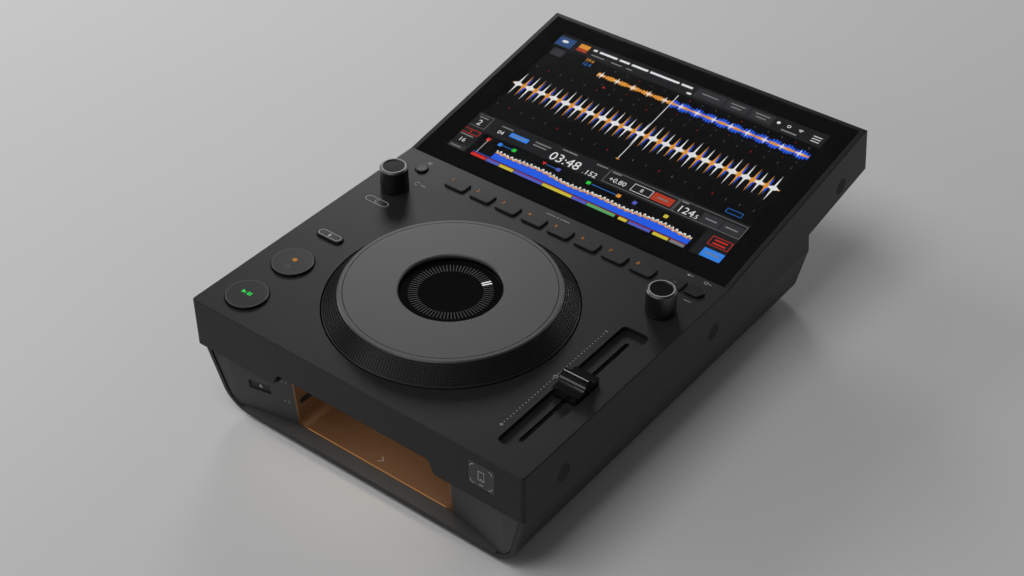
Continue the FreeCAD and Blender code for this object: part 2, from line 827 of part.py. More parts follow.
# Reader window, side plugs and feet
reader = new_body("reader_window")
add(reader, "XZ", front + 0.2, front + cover_wall,
    rounded(reader_x + 0.1, reader_x + reader_width - 0.1, deck - reader_drop - reader_height + 0.1,
            deck - reader_drop - 0.1, 0.9))
plugs = []
for y, z in plug_spots:
    for start in (-side, side - cover_wall):
        plug = doc.addObject("Part::Cylinder", "plug")
        bind(plug, "Radius", plug_radius)
        bind(plug, "Height", cover_wall)
        plug.Placement = FreeCAD.Placement(Vector(0, 0, 0), FreeCAD.Rotation(Vector(0, 1, 0), 90))
        for axis, value in zip("xyz", (start, y, z)):
            bind(plug, "Placement.Base." + axis, value)
        plugs.append(plug)
group("side_plugs", plugs)
foot_spots = [(x, y) for x in (size_of(-80), size_of(80)) for y in (front + 36, front + 296)]
group("feet", [rod(x, y, 0, foot_height, foot_radius) for x, y in foot_spots])

# Screen
glass = new_body("screen_glass")
add(glass, "XY", -glass_thick, 0, rectangle(-glass_half, glass_half, 0, glass_length))
place_item(glass, (0, fold, deck), screen_tilt)
panel_half = picture_half + screen_frame
screen = new_body("screen_panel")
add(screen, "XY", -cover_wall - screen_depth, -cover_wall,
    rectangle(-panel_half, panel_half, picture_low - screen_frame,
              picture_low + picture_length + screen_frame))
place_item(screen, (0, fold, deck), screen_tilt)

# Jog wheel and what carries it
well = new_body("jog_well")
well_floor = deck - well_depth
boss_top = well_floor + 4.9
boss_radius = shaft_radius + 5
fixed_bore = shaft_radius + 0.05
well_outer = jog_hole + well_wall
turn(well, 0, jog_y,
     (fixed_bore, well_floor - well_wall), (well_outer, well_floor - well_wall),
     (well_outer, cover_inside - 2), (well_outer + 4.8, cover_inside - 2),
     (well_outer + 4.8, cover_inside), (jog_hole, cover_inside), (jog_hole, well_floor),
     (boss_radius, well_floor), (boss_radius, boss_top), (fixed_bore, boss_top))

ring = new_body("jog_ring")
ring_top = deck + jog_height
web_top = deck - 3
web_half = jog_radius - 3.3
ring_axis = turn(ring, 0, jog_y,
                 (plate_radius + jog_groove, ring_top), (jog_top_radius, ring_top),
                 (jog_radius, deck), (jog_radius, deck - 9), (web_half + 0.2, deck - 9),
                 (web_half + 0.2, web_top), (web_half - 3.4, web_top),
                 (web_half - 3.4, deck + 1.5), (plate_radius + jog_groove, ring_top - 3.2))
flute_high = size_of(9.8)
flute_low = size_of(1.5)
cone_slope = (jog_radius - jog_top_radius) / jog_height
flute_in = [jog_radius - rise * cone_slope - flute_depth for rise in (flute_low, flute_high)]
flute_half = flute_width / 2
flute = cut(ring, "YZ", -flute_half, flute_half,
            polygon((jog_y + flute_in[0], deck + flute_low), (jog_y + flute_in[1], deck + flute_high),
                    (jog_y + flute_in[1] + 4, deck + flute_high),
                    (jog_y + flute_in[0] + 4, deck + flute_low)))
repeat_round(ring, flute, ring_axis, flute_count)

plate = new_body("jog_plate")
plate_low = ring_top - plate_thick
turn(plate, 0, jog_y,
     (display_hole, plate_low), (plate_radius, plate_low), (plate_radius, ring_top),
     (display_hole + 0.8, ring_top), (display_hole, ring_top - 0.8))

hub = new_body("jog_hub")
bore = shaft_radius + 2
sleeve = boss_radius
sleeve_low = boss_top + 1.1
drum_outer = size("drum_outer", 59.0)
turn(hub, 0, jog_y,
     (bore + 0.05, sleeve_low), (sleeve, sleeve_low), (sleeve, web_top - 3), (web_half, web_top - 3),
     (web_half, web_top), (drum_outer, web_top), (drum_outer, plate_low),
     (drum_outer - 3, plate_low), (drum_outer - 3, web_top), (bore + 0.05, web_top))

bushing = new_body("jog_bushing")
turn(bushing, 0, jog_y,
     (shaft_radius + running_fit, boss_top + 0.1), (sleeve, boss_top + 0.1), (sleeve, sleeve_low),
     (bore, sleeve_low), (bore, web_top), (shaft_radius + running_fit, web_top))

display_low = deck + 1
display_radius = display_hole - 0.6
shaft = new_body("jog_shaft")
turn(shaft, 0, jog_y,
     (shaft_radius - 3, well_floor - well_wall), (shaft_radius, well_floor - well_wall),
     (shaft_radius, display_low), (shaft_radius - 3, display_low))

display_face = ring_top - display_sink
cup = new_body("display_cup")
turn(cup, 0, jog_y,
     (0, display_low), (display_radius, display_low), (display_radius, display_face - 1),
     (display_radius - 2.2, display_face - 1), (display_radius - 2.2, display_low + 2),
     (0, display_low + 2))

display = new_body("display_glass")
turn(display, 0, jog_y,
     (0, display_face - 1), (display_radius, display_face - 1), (display_radius, display_face),
     (0, display_face))

encoder_level = sleeve_low + 2
disc = new_body("encoder_disc")
disc_radius = size("disc_radius", 28.0)
disc_axis = turn(disc, 0, jog_y,
                 (sleeve + 0.05, encoder_level), (disc_radius, encoder_level),
                 (disc_radius, encoder_level + 0.8), (sleeve + 0.05, encoder_level + 0.8))
slit = cut(disc, "XY", encoder_level - 1, encoder_level + 2,
           rectangle(-0.9, 0.9, jog_y + disc_radius - 5, jog_y + disc_radius - 1))
repeat_round(disc, slit, disc_axis, 24)

sensor = new_body("encoder_sensor")
add(sensor, "XY", well_floor, encoder_level + 4,
    rectangle(disc_radius - 7, disc_radius + 4, jog_y - 4, jog_y + 4))
cut(sensor, "XY", encoder_level - 1, encoder_level + 1.8,
    rectangle(disc_radius - 8, disc_radius + 1, jog_y - 5, jog_y + 5))

# Keys: a cap through the case, a lip that holds it in, a stem over its switch
switch_top = board_top + switch_height
lip_top = cover_inside - seat_gap
lip_low = lip_top - key_lip
stem_low = switch_top + key_travel + 0.1
switch_spots = []


def key(label, cap, lip, stem_x, stem_y, rise=key_rise):
    body = new_body(label)
    add(body, "XY", lip_low, lip_top, lip)
    add(body, "XY", lip_top, deck + rise, cap)
    add(body, "XY", stem_low, lip_low, circle(stem_x, stem_y, 2))
    top = deck + rise
    soften(body, "Chamfer", key_edge, lambda edge: flat_at(edge, top))
    switch_spots.append((stem_x, stem_y))
    return body


lip_reach = size("lip_reach", 1.4)
for label, back in (("play_button", play_back), ("cue_button", cue_back)):
    key(label, circle(left_x, front + back, round_key), circle(left_x, front + back, round_key + lip_reach),
        left_x, front + back)
key("shift_button", shift_outline(size_of(0)), shift_outline(lip_reach), left_x, front + shift_back)
key("delete_button", circle(small_x, keys_row, small_key),
    circle(small_x, keys_row, small_key + lip_reach + 0.6), small_x, keys_row)
for label, way in (("back_button", -1), ("tag_button", 1)):
    middle = twin_middle + way * (twin_gap + twin_width) / 2
    key(label, twin_outline(way, 0), twin_outline(way, size_of(1)), middle, keys_row + 1)
for number, x in enumerate(pad_places):
    key("pad_%d" % (number + 1), pad_outline(x, 0), pad_outline(x, lip_reach), x, keys_row)

# Knobs that turn and push
shaft_low = cover_inside - 8
for label, way in (("left", -1), ("right", 1)):
    knob = new_body(label + "_knob")
    x, y = way * knob_spread, front + knob_back
    low = deck + knob_gap
    top = deck + knob_height
    hole = top - 4.3
    knob_axis = turn(knob, x, y,
                     (knob_shaft + running_fit, low), (knob_radius, low), (knob_radius - 0.2, top - 1.1),
                     (knob_radius - 1.2, top), (knob_radius - 2, top), (knob_radius - 2.5, top - 0.8),
                     (0, top - 0.8), (0, hole), (knob_shaft + running_fit, hole))
    rib = cut(knob, "XY", low + 1, top - 2,
              rectangle(x - 0.35, x + 0.35, y + knob_radius - 0.5, y + knob_radius + 1))
    repeat_round(knob, rib, knob_axis, knob_ribs)
    pin = new_body(label + "_encoder_shaft")
    turn(pin, x, y, (0, shaft_low), (knob_shaft, shaft_low), (knob_shaft, hole - 0.1), (0, hole - 0.1))
sleeves = []
for way in (-1, 1):
    x, y = way * knob_spread, front + knob_back
    low = shaft_low - knob_push - 0.4
    body = block(x - 6, x + 6, y - 6, y + 6, low - 1, cover_inside)
    neck = rod(x, y, cover_inside, deck - 0.2, bushing_radius)
    sleeves.append(minus(plus(body, neck), rod(x, y, low, deck + 1, knob_shaft + running_fit)))
group("encoder_sleeves", sleeves)

# Tempo fader
bed = new_body("fader_bed")
bed_top = deck - fader_floor
add(bed, "XY", bed_top - 2, cover_inside, fader_outline(size_of(3.5)))
cut(bed, "XY", bed_top, deck, fader_outline(size_of(0)))
slot_half = fader_travel + 2.4
cut(bed, "XY", bed_top - 3, deck,
    rounded(fader_x - slot_width / 2, fader_x + slot_width / 2, fader_y - slot_half, fader_y + slot_half,
            slot_width / 2 - 0.1))
cap = new_body("fader_cap")
cap_under = deck - cap_low
add(cap, "XY", cap_under, deck + cap_top,
    rounded(fader_x - cap_width / 2, fader_x + cap_width / 2, fader_y - cap_length / 2,
            fader_y + cap_length / 2, 1.5))
cut(cap, "YZ", fader_x - cap_width, fader_x + cap_width,
    *[circle(fader_y + way * cap_dip_back, deck + cap_dip_rise, cap_dip_radius) for way in (-1, 1)])
lever = new_body("fader_lever")
frame_low = bed_top - 17
add(lever, "XY", frame_low + 4, frame_low + 11,
    rectangle(fader_x - 5, fader_x + 5, fader_y - 7, fader_y + 7))
add(lever, "XY", frame_low + 11, cap_under,
    rectangle(fader_x - 0.8, fader_x + 0.8, fader_y - 2, fader_y + 2))
frame = new_body("fader_frame")
frame_end = fader_travel + 10
add(frame, "XY", frame_low, bed_top - 2,
    rectangle(fader_x - 8, fader_x + 8, fader_y - frame_end - 3, fader_y + frame_end + 3))
cut(frame, "XY", frame_low + 3.7, bed_top,
    rectangle(fader_x - 5.3, fader_x + 5.3, fader_y - frame_end, fader_y + frame_end))

# Eject key in the left wing and its switch board
eject_key = new_body("eject_key")
eject_middle = eject_high - eject_height / 2
reach = [-(eject_x + 0.3), -(eject_x + eject_width - 0.3)]
face = [wing_y(value, eject_middle) + eject_sink for value in reach]
key_back = wing_y(reach[1], eject_middle) + eject_sink + 7
add(eject_key, "XY", eject_high - eject_height + 0.3, eject_high - 0.3,
    polygon((-reach[0], face[0]), (-reach[1], face[1]), (-reach[1], key_back), (-reach[0], key_back)))
eject_board = new_body("eject_board")
eject_switch = key_back + key_travel + 0.1
add(eject_board, "XZ", eject_switch + 3, eject_switch + 3 + board_thick,
    rectangle(eject_x - 1, eject_x + eject_width + 1, floor_top, eject_high))
add(eject_board, "XZ", eject_switch, eject_switch + 3,
    rectangle(eject_x + 5, eject_x + 11, eject_middle - 3, eject_middle + 3))

# Boards, switches, standoffs, screws and power supply
left_board = new_body("left_board")
add(left_board, "XY", board_top - board_thick, board_top,
    rounded(4 - side, 4 - side + 34, front + 8, front + 120, 2))
row_board = new_body("row_board")
add(row_board, "XY", board_top - board_thick, board_top,
    rounded(8 - side, side - 6, keys_row - 12, keys_row + 13, 2))
group("key_switches", [block(x - 3, x + 3, y - 3, y + 3, board_top, switch_top)
                       for x, y in switch_spots])
main_low = floor_top + standoff_height
main_board = new_body("main_board")
add(main_board, "XY", main_low, main_low + board_thick,
    rounded(-board_half, board_half, board_near, board_far, 3))
cut(main_board, "XY", main_low - 1, main_low + board_thick + 1,
    *[circle(x, y, screw_radius + 0.15) for x, y in screw_spots])
group("board_standoffs", [minus(rod(x, y, floor_top, main_low, 3.5),
                                rod(x, y, floor_top - 1, main_low + 1, screw_radius + 0.15))
                          for x, y in screw_spots])
group("base_screws", [plus(rod(x, y, foot_height + 0.1, foot_height + head_height, head_radius),
                           rod(x, y, foot_height + head_height, main_low + board_thick, screw_radius))
                      for x, y in screw_spots])
supply = new_body("power_supply")
add(supply, "XY", floor_top, floor_top + 34, rounded(8, 92, front + 238, front + 288, 3))

# Rear sockets, drawn in the plane of the rear wall
wall_origin = (0, slab_point(base_back, 0)[0], slab_point(base_back, 0)[1])


def socket_body(label, depth, proud=0.6):
    x, w, h = sockets[label]
    body = new_body(label)
    add(body, "XZ", -depth, proud, rounded(x - w, x + w, socket_row - h, socket_row + h, 0.8))
    return body, x


inlet, x = socket_body("power_inlet", 18)
cut(inlet, "XZ", -12, 2, rounded(x - 8, x + 8, socket_row - 4.5, socket_row + 4.5, 4))
add(inlet, "XZ", -12.5, -3, *[circle(x + way * 4.3, socket_row, 1.1) for way in (-1, 1)])
place_item(inlet, wall_origin, screen_tilt)
lan, x = socket_body("lan_jack", 20)
cut(lan, "XZ", -13, 2, rectangle(x - 6, x + 6, socket_row - 5, socket_row + 5))
place_item(lan, wall_origin, screen_tilt)
device, x = socket_body("usb_device_jack", 16)
cut(device, "XZ", -10, 2, rectangle(x - 4.2, x + 4.2, socket_row - 3.9, socket_row + 3.9))
add(device, "XZ", -10.5, -1.5, rectangle(x - 2.8, x + 2.8, socket_row - 1.6, socket_row + 1.6))
place_item(device, wall_origin, screen_tilt)
button = new_body("power_button")
x, w, h = sockets["power_button"]
add(button, "XZ", -base_wall - 1.3, -base_wall - 0.3,
    rectangle(x - w - 1, x + w + 1, socket_row - h - 1, socket_row + h + 1))
add(button, "XZ", -base_wall - 0.3, 2.5, rounded(x - w + 0.1, x + w - 0.1, socket_row - h + 0.1,
                                               socket_row + h - 0.1, 0.7))
place_item(button, wall_origin, screen_tilt)
jacks = new_body("line_jacks")
add(jacks, "XZ", -base_wall - 13, -base_wall, rectangle(8, 37, socket_row - 7, socket_row + 7))
add(jacks, "XZ", -base_wall, jack_length, *[circle(x, socket_row, jack_radius) for x in rca_spots])
cut(jacks, "XZ", 1, jack_length + 1, *[circle(x, socket_row, 1.7) for x in rca_spots])
place_item(jacks, wall_origin, screen_tilt)

# Every object has to have been built, and every node has to be a sound solid
doc.recompute()
for item in doc.Objects:
    if "Invalid" in item.State or "Error" in item.State:
        raise RuntimeError(item.Label + " could not be built")
for node in nodes:
    if node.Shape.isNull() or not node.Shape.isValid() or not node.Shape.Solids:
        raise RuntimeError(node.Label + " is not a sound solid")
os.makedirs("parts", exist_ok=True)
for node in nodes:
    node.Shape.exportStep(os.path.join("parts", node.Label + ".step"))
print(len(nodes), "nodes written")
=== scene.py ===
# %% [markdown]
# A desktop media player, dressed for a studio picture. The solid parts come from the frame, and
# this script adds the materials, the printed marks, the lit screen, the lights and the camera.
# Lengths below are in millimetres from the front left corner of the deck, unless a name says
# otherwise: x to the right, y to the back, z up from the deck.

# %% Load the frame
import math

import bmesh
import bpy
from mathutils import Matrix, Vector


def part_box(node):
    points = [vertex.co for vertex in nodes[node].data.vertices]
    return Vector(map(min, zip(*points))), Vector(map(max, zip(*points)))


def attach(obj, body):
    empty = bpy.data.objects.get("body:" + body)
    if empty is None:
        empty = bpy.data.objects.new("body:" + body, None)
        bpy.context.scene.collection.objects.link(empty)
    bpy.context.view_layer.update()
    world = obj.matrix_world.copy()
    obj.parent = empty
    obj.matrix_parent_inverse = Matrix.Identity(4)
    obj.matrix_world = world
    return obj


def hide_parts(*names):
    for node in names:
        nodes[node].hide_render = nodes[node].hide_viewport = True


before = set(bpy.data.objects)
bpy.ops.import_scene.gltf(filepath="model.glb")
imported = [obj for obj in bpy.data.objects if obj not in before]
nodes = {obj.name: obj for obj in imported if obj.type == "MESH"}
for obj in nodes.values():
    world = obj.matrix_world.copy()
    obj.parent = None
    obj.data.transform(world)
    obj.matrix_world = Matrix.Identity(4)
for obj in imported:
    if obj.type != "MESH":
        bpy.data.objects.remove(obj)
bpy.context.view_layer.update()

# %% [markdown]
# The deck's corner in the frame is read from the box of the case. The box doesn't show the
# deck's height, the place of the fold or the tilt of the screen, so those three are named here.
# Three functions then take a flat drawing in millimetres to the deck, the screen or the front.

# %% Where things are
MM = 0.001
case_low = Vector(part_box("top_cover")[0])
DECK_Z = 87.5
FOLD_Y = 206.0
TILT = math.radians(10.1)
QUARTER = math.radians(90)
CORNER = Vector((case_low.x / MM, case_low.y / MM, DECK_Z))
print("deck corner", [round(part, 2) for part in CORNER])


def deck_matrix(x=0.0, y=0.0, z=0.0):
    """From a drawing in millimetres to a level plane over the deck."""
    place = (CORNER + Vector((x, y, z))) * MM
    return Matrix.Translation(place) @ Matrix.Scale(MM, 4)


def screen_matrix(height):
    """From a drawing in millimetres to a plane over the tilted screen, from the fold upwards."""
    place = (CORNER + Vector((0, FOLD_Y, 0))) * MM
    lean = Matrix.Rotation(TILT, 4, "X")
    lift = Matrix.Translation((0, 0, height * MM))
    return Matrix.Translation(place) @ lean @ lift @ Matrix.Scale(MM, 4)


def front_matrix(y):
    """From a drawing (across, up) in millimetres to an upright plane facing the player."""
    place = (CORNER + Vector((0, y, 0))) * MM
    stand = Matrix.Rotation(QUARTER, 4, "X")
    return Matrix.Translation(place) @ stand @ Matrix.Scale(MM, 4)


def link(item):
    """Puts an object into the scene."""
    bpy.context.scene.collection.objects.link(item)
    return item


# %% [markdown]
# A shader is easier to read as arithmetic. The first class wraps the output of a node, so that
# plus, minus, times and over add a Math node and link it up. The second is a material with one
# surface: add() makes any node, and the other methods are short names for the usual ones.

# %% Shader arithmetic
class Wire:
    """One output socket of a node tree, with arithmetic."""

    def __init__(self, shader, socket):
        self.shader = shader
        self.socket = socket

    def math(self, operation, *others):
        return self.shader.add("ShaderNodeMath", self, *others, operation=operation)

    def __add__(self, other):
        return self.math("ADD", other)

    def __radd__(self, other):
        return self.math("ADD", other)

    def __sub__(self, other):
        return self.math("SUBTRACT", other)

    def __rsub__(self, other):
        return self.math("MULTIPLY_ADD", -1.0, other)

    def __mul__(self, other):
        return self.math("MULTIPLY", other)

    def __rmul__(self, other):
        return self.math("MULTIPLY", other)

    def __truediv__(self, other):
        return self.math("DIVIDE", other)


class Shader:
    """A material with one Principled surface, whose nodes are added by add()."""

    def __init__(self, name):
        self.material = bpy.data.materials.new(name)
        self.material.use_nodes = True
        self.tree = self.material.node_tree
        self.surface = self.tree.nodes["Principled BSDF"]

    def add(self, kind, *inputs, output=0, **settings):
        node = self.tree.nodes.new(kind)
        for name, value in settings.items():
            setattr(node, name, value)
        for number, value in enumerate(inputs):
            self.feed(node.inputs[number], value)
        return Wire(self, node.outputs[output])

    def feed(self, socket, value):
        if isinstance(value, Wire):
            self.tree.links.new(value.socket, socket)
        elif value is not None:
            socket.default_value = value

    def set(self, **values):
        """Feeds sockets of the surface: Base_Color stands for Base Color."""
        for name, value in values.items():
            self.feed(self.surface.inputs[name.replace("_", " ")], value)
        return self

    def place(self):
        """The object's own coordinates, the fourth output of the node."""
        return self.add("ShaderNodeTexCoord", output=3)

    def split(self):
        """The x, y and z of the place, in metres."""
        node = self.tree.nodes.new("ShaderNodeSeparateXYZ")
        self.tree.links.new(self.place().socket, node.inputs[0])
        return [Wire(self, socket) for socket in node.outputs]

    def noise(self, scale, detail):
        """A soft noise from 0 to 1 over the place."""
        node = self.tree.nodes.new("ShaderNodeTexNoise")
        self.tree.links.new(self.place().socket, node.inputs["Vector"])
        node.inputs["Scale"].default_value = scale
        node.inputs["Detail"].default_value = detail
        return Wire(self, node.outputs["Fac"])

    def blend(self, factor, low, high):
        """A colour between two colours."""
        node = self.tree.nodes.new("ShaderNodeMix")
        node.data_type = "RGBA"
        self.feed(node.inputs["Factor"], factor)
        self.feed(node.inputs["A"], low)
        self.feed(node.inputs["B"], high)
        return Wire(self, [out for out in node.outputs if out.type == "RGBA"][0])

    def bump(self, height, depth):
        """A normal that follows a height from 0 to 1, with its depth in metres."""
        node = self.tree.nodes.new("ShaderNodeBump")
        node.inputs["Strength"].default_value = 1.0
        node.inputs["Distance"].default_value = depth
        self.feed(node.inputs["Height"], height)
        return Wire(self, node.outputs["Normal"])


def tint(value, warm=0.0):
    """A grey, or a warmer one with more red and less blue."""
    return (value * (1 + warm), value, value * (1 - warm), 1)


# %% [markdown]
# Moulded plastic is never one flat grey. A slow noise shifts its colour and its gloss a little,
# and a fine one raises the grain that the tool left on it. Metal has its noise pulled out into
# brush lines. Gloss here is a roughness: a low value shines.

# %% Plastics and metals
def plastic(name, shade, gloss, grain, grain_scale, coat=0.0):
    """Grey plastic. The grain is the depth of its texture in metres."""
    shader = Shader(name)
    slow = shader.noise(9, 3)
    fine = shader.noise(grain_scale, 2)
    mottle = slow * 0.6 + fine * 0.4
    colour = shader.blend(mottle, tint(shade * 0.86), tint(shade * 1.14))
    shader.set(Base_Color=colour, Roughness=slow * 0.1 + (gloss - 0.05), Coat_Weight=coat)
    shader.set(Normal=shader.bump(fine, grain), Specular_IOR_Level=0.32)
    return shader.material


def metal(name, shade, gloss, warm=0.0):
    """Brushed metal, with fine lines that run along x."""
    shader = Shader(name)
    x, y, z = shader.split()
    lines = shader.add("ShaderNodeCombineXYZ", x * 40, y * 900, z * 900)
    grain = shader.add("ShaderNodeTexNoise", lines)
    colour = shader.blend(grain, tint(shade * 0.85, warm), tint(shade * 1.1, warm))
    shader.set(Base_Color=colour, Metallic=1.0, Roughness=grain * 0.15 + gloss)
    return shader.material


case_skin = plastic("case_skin", 0.0095, 0.48, 0.000012, 3200)
base_skin = plastic("base_skin", 0.03, 0.55, 0.0001, 1200)
panel_skin = plastic("panel_skin", 0.066, 0.6, 0.00012, 1200)
key_skin = plastic("key_skin", 0.009, 0.4, 0.000008, 4000)
pad_skin = plastic("pad_skin", 0.011, 0.5, 0.000012, 3000)
grip_skin = plastic("grip_skin", 0.015, 0.36, 0.00001, 3000)
knob_skin = metal("knob_skin", 0.13, 0.32)
display_skin = plastic("display_skin", 0.002, 0.1, 0.0, 2000)
black_gloss = plastic("black_gloss", 0.008, 0.12, 0.0, 2000, coat=0.5)
rubber = plastic("rubber", 0.018, 0.75, 0.00003, 2200)
inner_skin = plastic("inner_skin", 0.05, 0.55, 0.00002, 1800)
board_skin = plastic("board_skin", 0.03, 0.5, 0.00002, 900)
steel = metal("steel", 0.55, 0.28)
brass = metal("brass", 0.5, 0.3, 0.28)
print("materials so far", len(bpy.data.materials))

# %% [markdown]
# The bay is a warm satin bronze with a fine grain. A very weak glow of its own colour stands in
# for the light that fills it.

# %% The bay's bronze skin
def bay_skin():
    shader = Shader("bay_skin")
    fine = shader.noise(1500, 2)
    slow = shader.noise(14, 2)
    colour = shader.blend(fine * 0.5 + slow * 0.5, (0.12, 0.058, 0.026, 1), (0.26, 0.14, 0.07, 1))
    shader.set(Base_Color=colour, Roughness=slow * 0.15 + 0.42, Metallic=0.35)
    shader.set(Normal=shader.bump(fine, 0.00005), Emission_Color=colour, Emission_Strength=0.03)
    return shader.material


# %% [markdown]
# The top plate of the wheel is turned metal under a dark satin coat: fine rings about the
# centre, found from the distance to the axis.

# %% The wheel's plate
WHEEL = Vector((127.0, 93.5))
wheel_x, wheel_y = (CORNER.xy + WHEEL) * MM


def plate_skin():
    shader = Shader("plate_skin")
    x, y, z = shader.split()
    reach = ((x - wheel_x).math("POWER", 2.0) + (y - wheel_y).math("POWER", 2.0)).math("SQRT")
    unrolled = shader.add("ShaderNodeCombineXYZ", reach * 1500, 0.0, z * 50)
    rings = shader.add("ShaderNodeTexNoise", unrolled)
    slow = shader.noise(12, 2)
    colour = shader.blend(rings * 0.5 + slow * 0.5, tint(0.074), tint(0.09))
    shader.set(Base_Color=colour, Metallic=0.25, Roughness=rings * 0.06 + 0.42)
    shader.set(Normal=shader.bump(rings, 0.000004))
    return shader.material


# %% [markdown]
# The screen's glass is clear, with a faint smear in its gloss. Under it is a dark panel that the
# drawn layers lie on.

# %% Glass and the panel under it
def clear_glass():
    shader = Shader("clear_glass")
    smear = shader.noise(30, 2)
    shader.set(Base_Color=(0.93, 0.94, 0.95, 1), Transmission_Weight=1.0, IOR=1.45)
    shader.set(Roughness=smear * 0.02)
    return shader.material


def dark_panel():
    shader = Shader("dark_panel")
    slow = shader.noise(20, 1)
    shader.set(Base_Color=shader.blend(slow, tint(0.004), tint(0.006)), Roughness=slow * 0.05 + 0.4,
               Specular_IOR_Level=0.1)
    return shader.material


# %% [markdown]
# Each node gets the skin that its real part has. The last line names any node that was forgotten.

# %% Dress the nodes
turned_skin = plate_skin()
skins = {
    case_skin: ["top_cover", "fader_bed"],
    base_skin: ["base_shell"],
    panel_skin: ["front_panel"],
    bay_skin(): ["bay_liner"],
    turned_skin: ["jog_plate"],
    clear_glass(): ["screen_glass"],
    dark_panel(): ["screen_panel"],
    black_gloss: ["reader_window", "fader_cap"],
    display_skin: ["display_glass"],
    rubber: ["feet", "side_plugs"],
    key_skin: ["play_button", "cue_button", "shift_button", "delete_button", "eject_key",
               "back_button", "tag_button"],
    pad_skin: ["pad_%d" % number for number in range(1, 9)],
    knob_skin: ["left_knob", "right_knob"],
    grip_skin: ["jog_ring"],
    inner_skin: ["jog_well", "jog_hub", "display_cup", "encoder_sensor", "key_switches",
                 "port_tongues", "power_inlet", "power_button"],
    board_skin: ["left_board", "row_board", "main_board", "eject_board"],
    steel: ["port_shells", "jog_shaft", "encoder_disc", "left_encoder_shaft", "encoder_sleeves",
            "right_encoder_shaft", "fader_lever", "fader_frame", "board_standoffs", "base_screws",
            "power_supply", "lan_jack", "usb_device_jack"],
    brass: ["jog_bushing", "line_jacks"],
}
for skin, names in skins.items():
    for name in names:
        mesh = nodes[name].data
        mesh.materials.clear()
        mesh.materials.append(skin)
undressed = sorted(set(nodes) - {name for names in skins.values() for name in names})
print("undressed nodes", undressed)


# %% [markdown]
# Marks are flat shapes drawn in millimetres and then moved onto their surface. A drawing holds
# one mesh and offers bars, frames, discs, triangles, spikes, rings, pills and numbers. Its last
# method moves the mesh, gives it a skin and says which body it rides on.

# %% A drawing board
CAP_HEIGHTS_PER_SIZE = 1.39


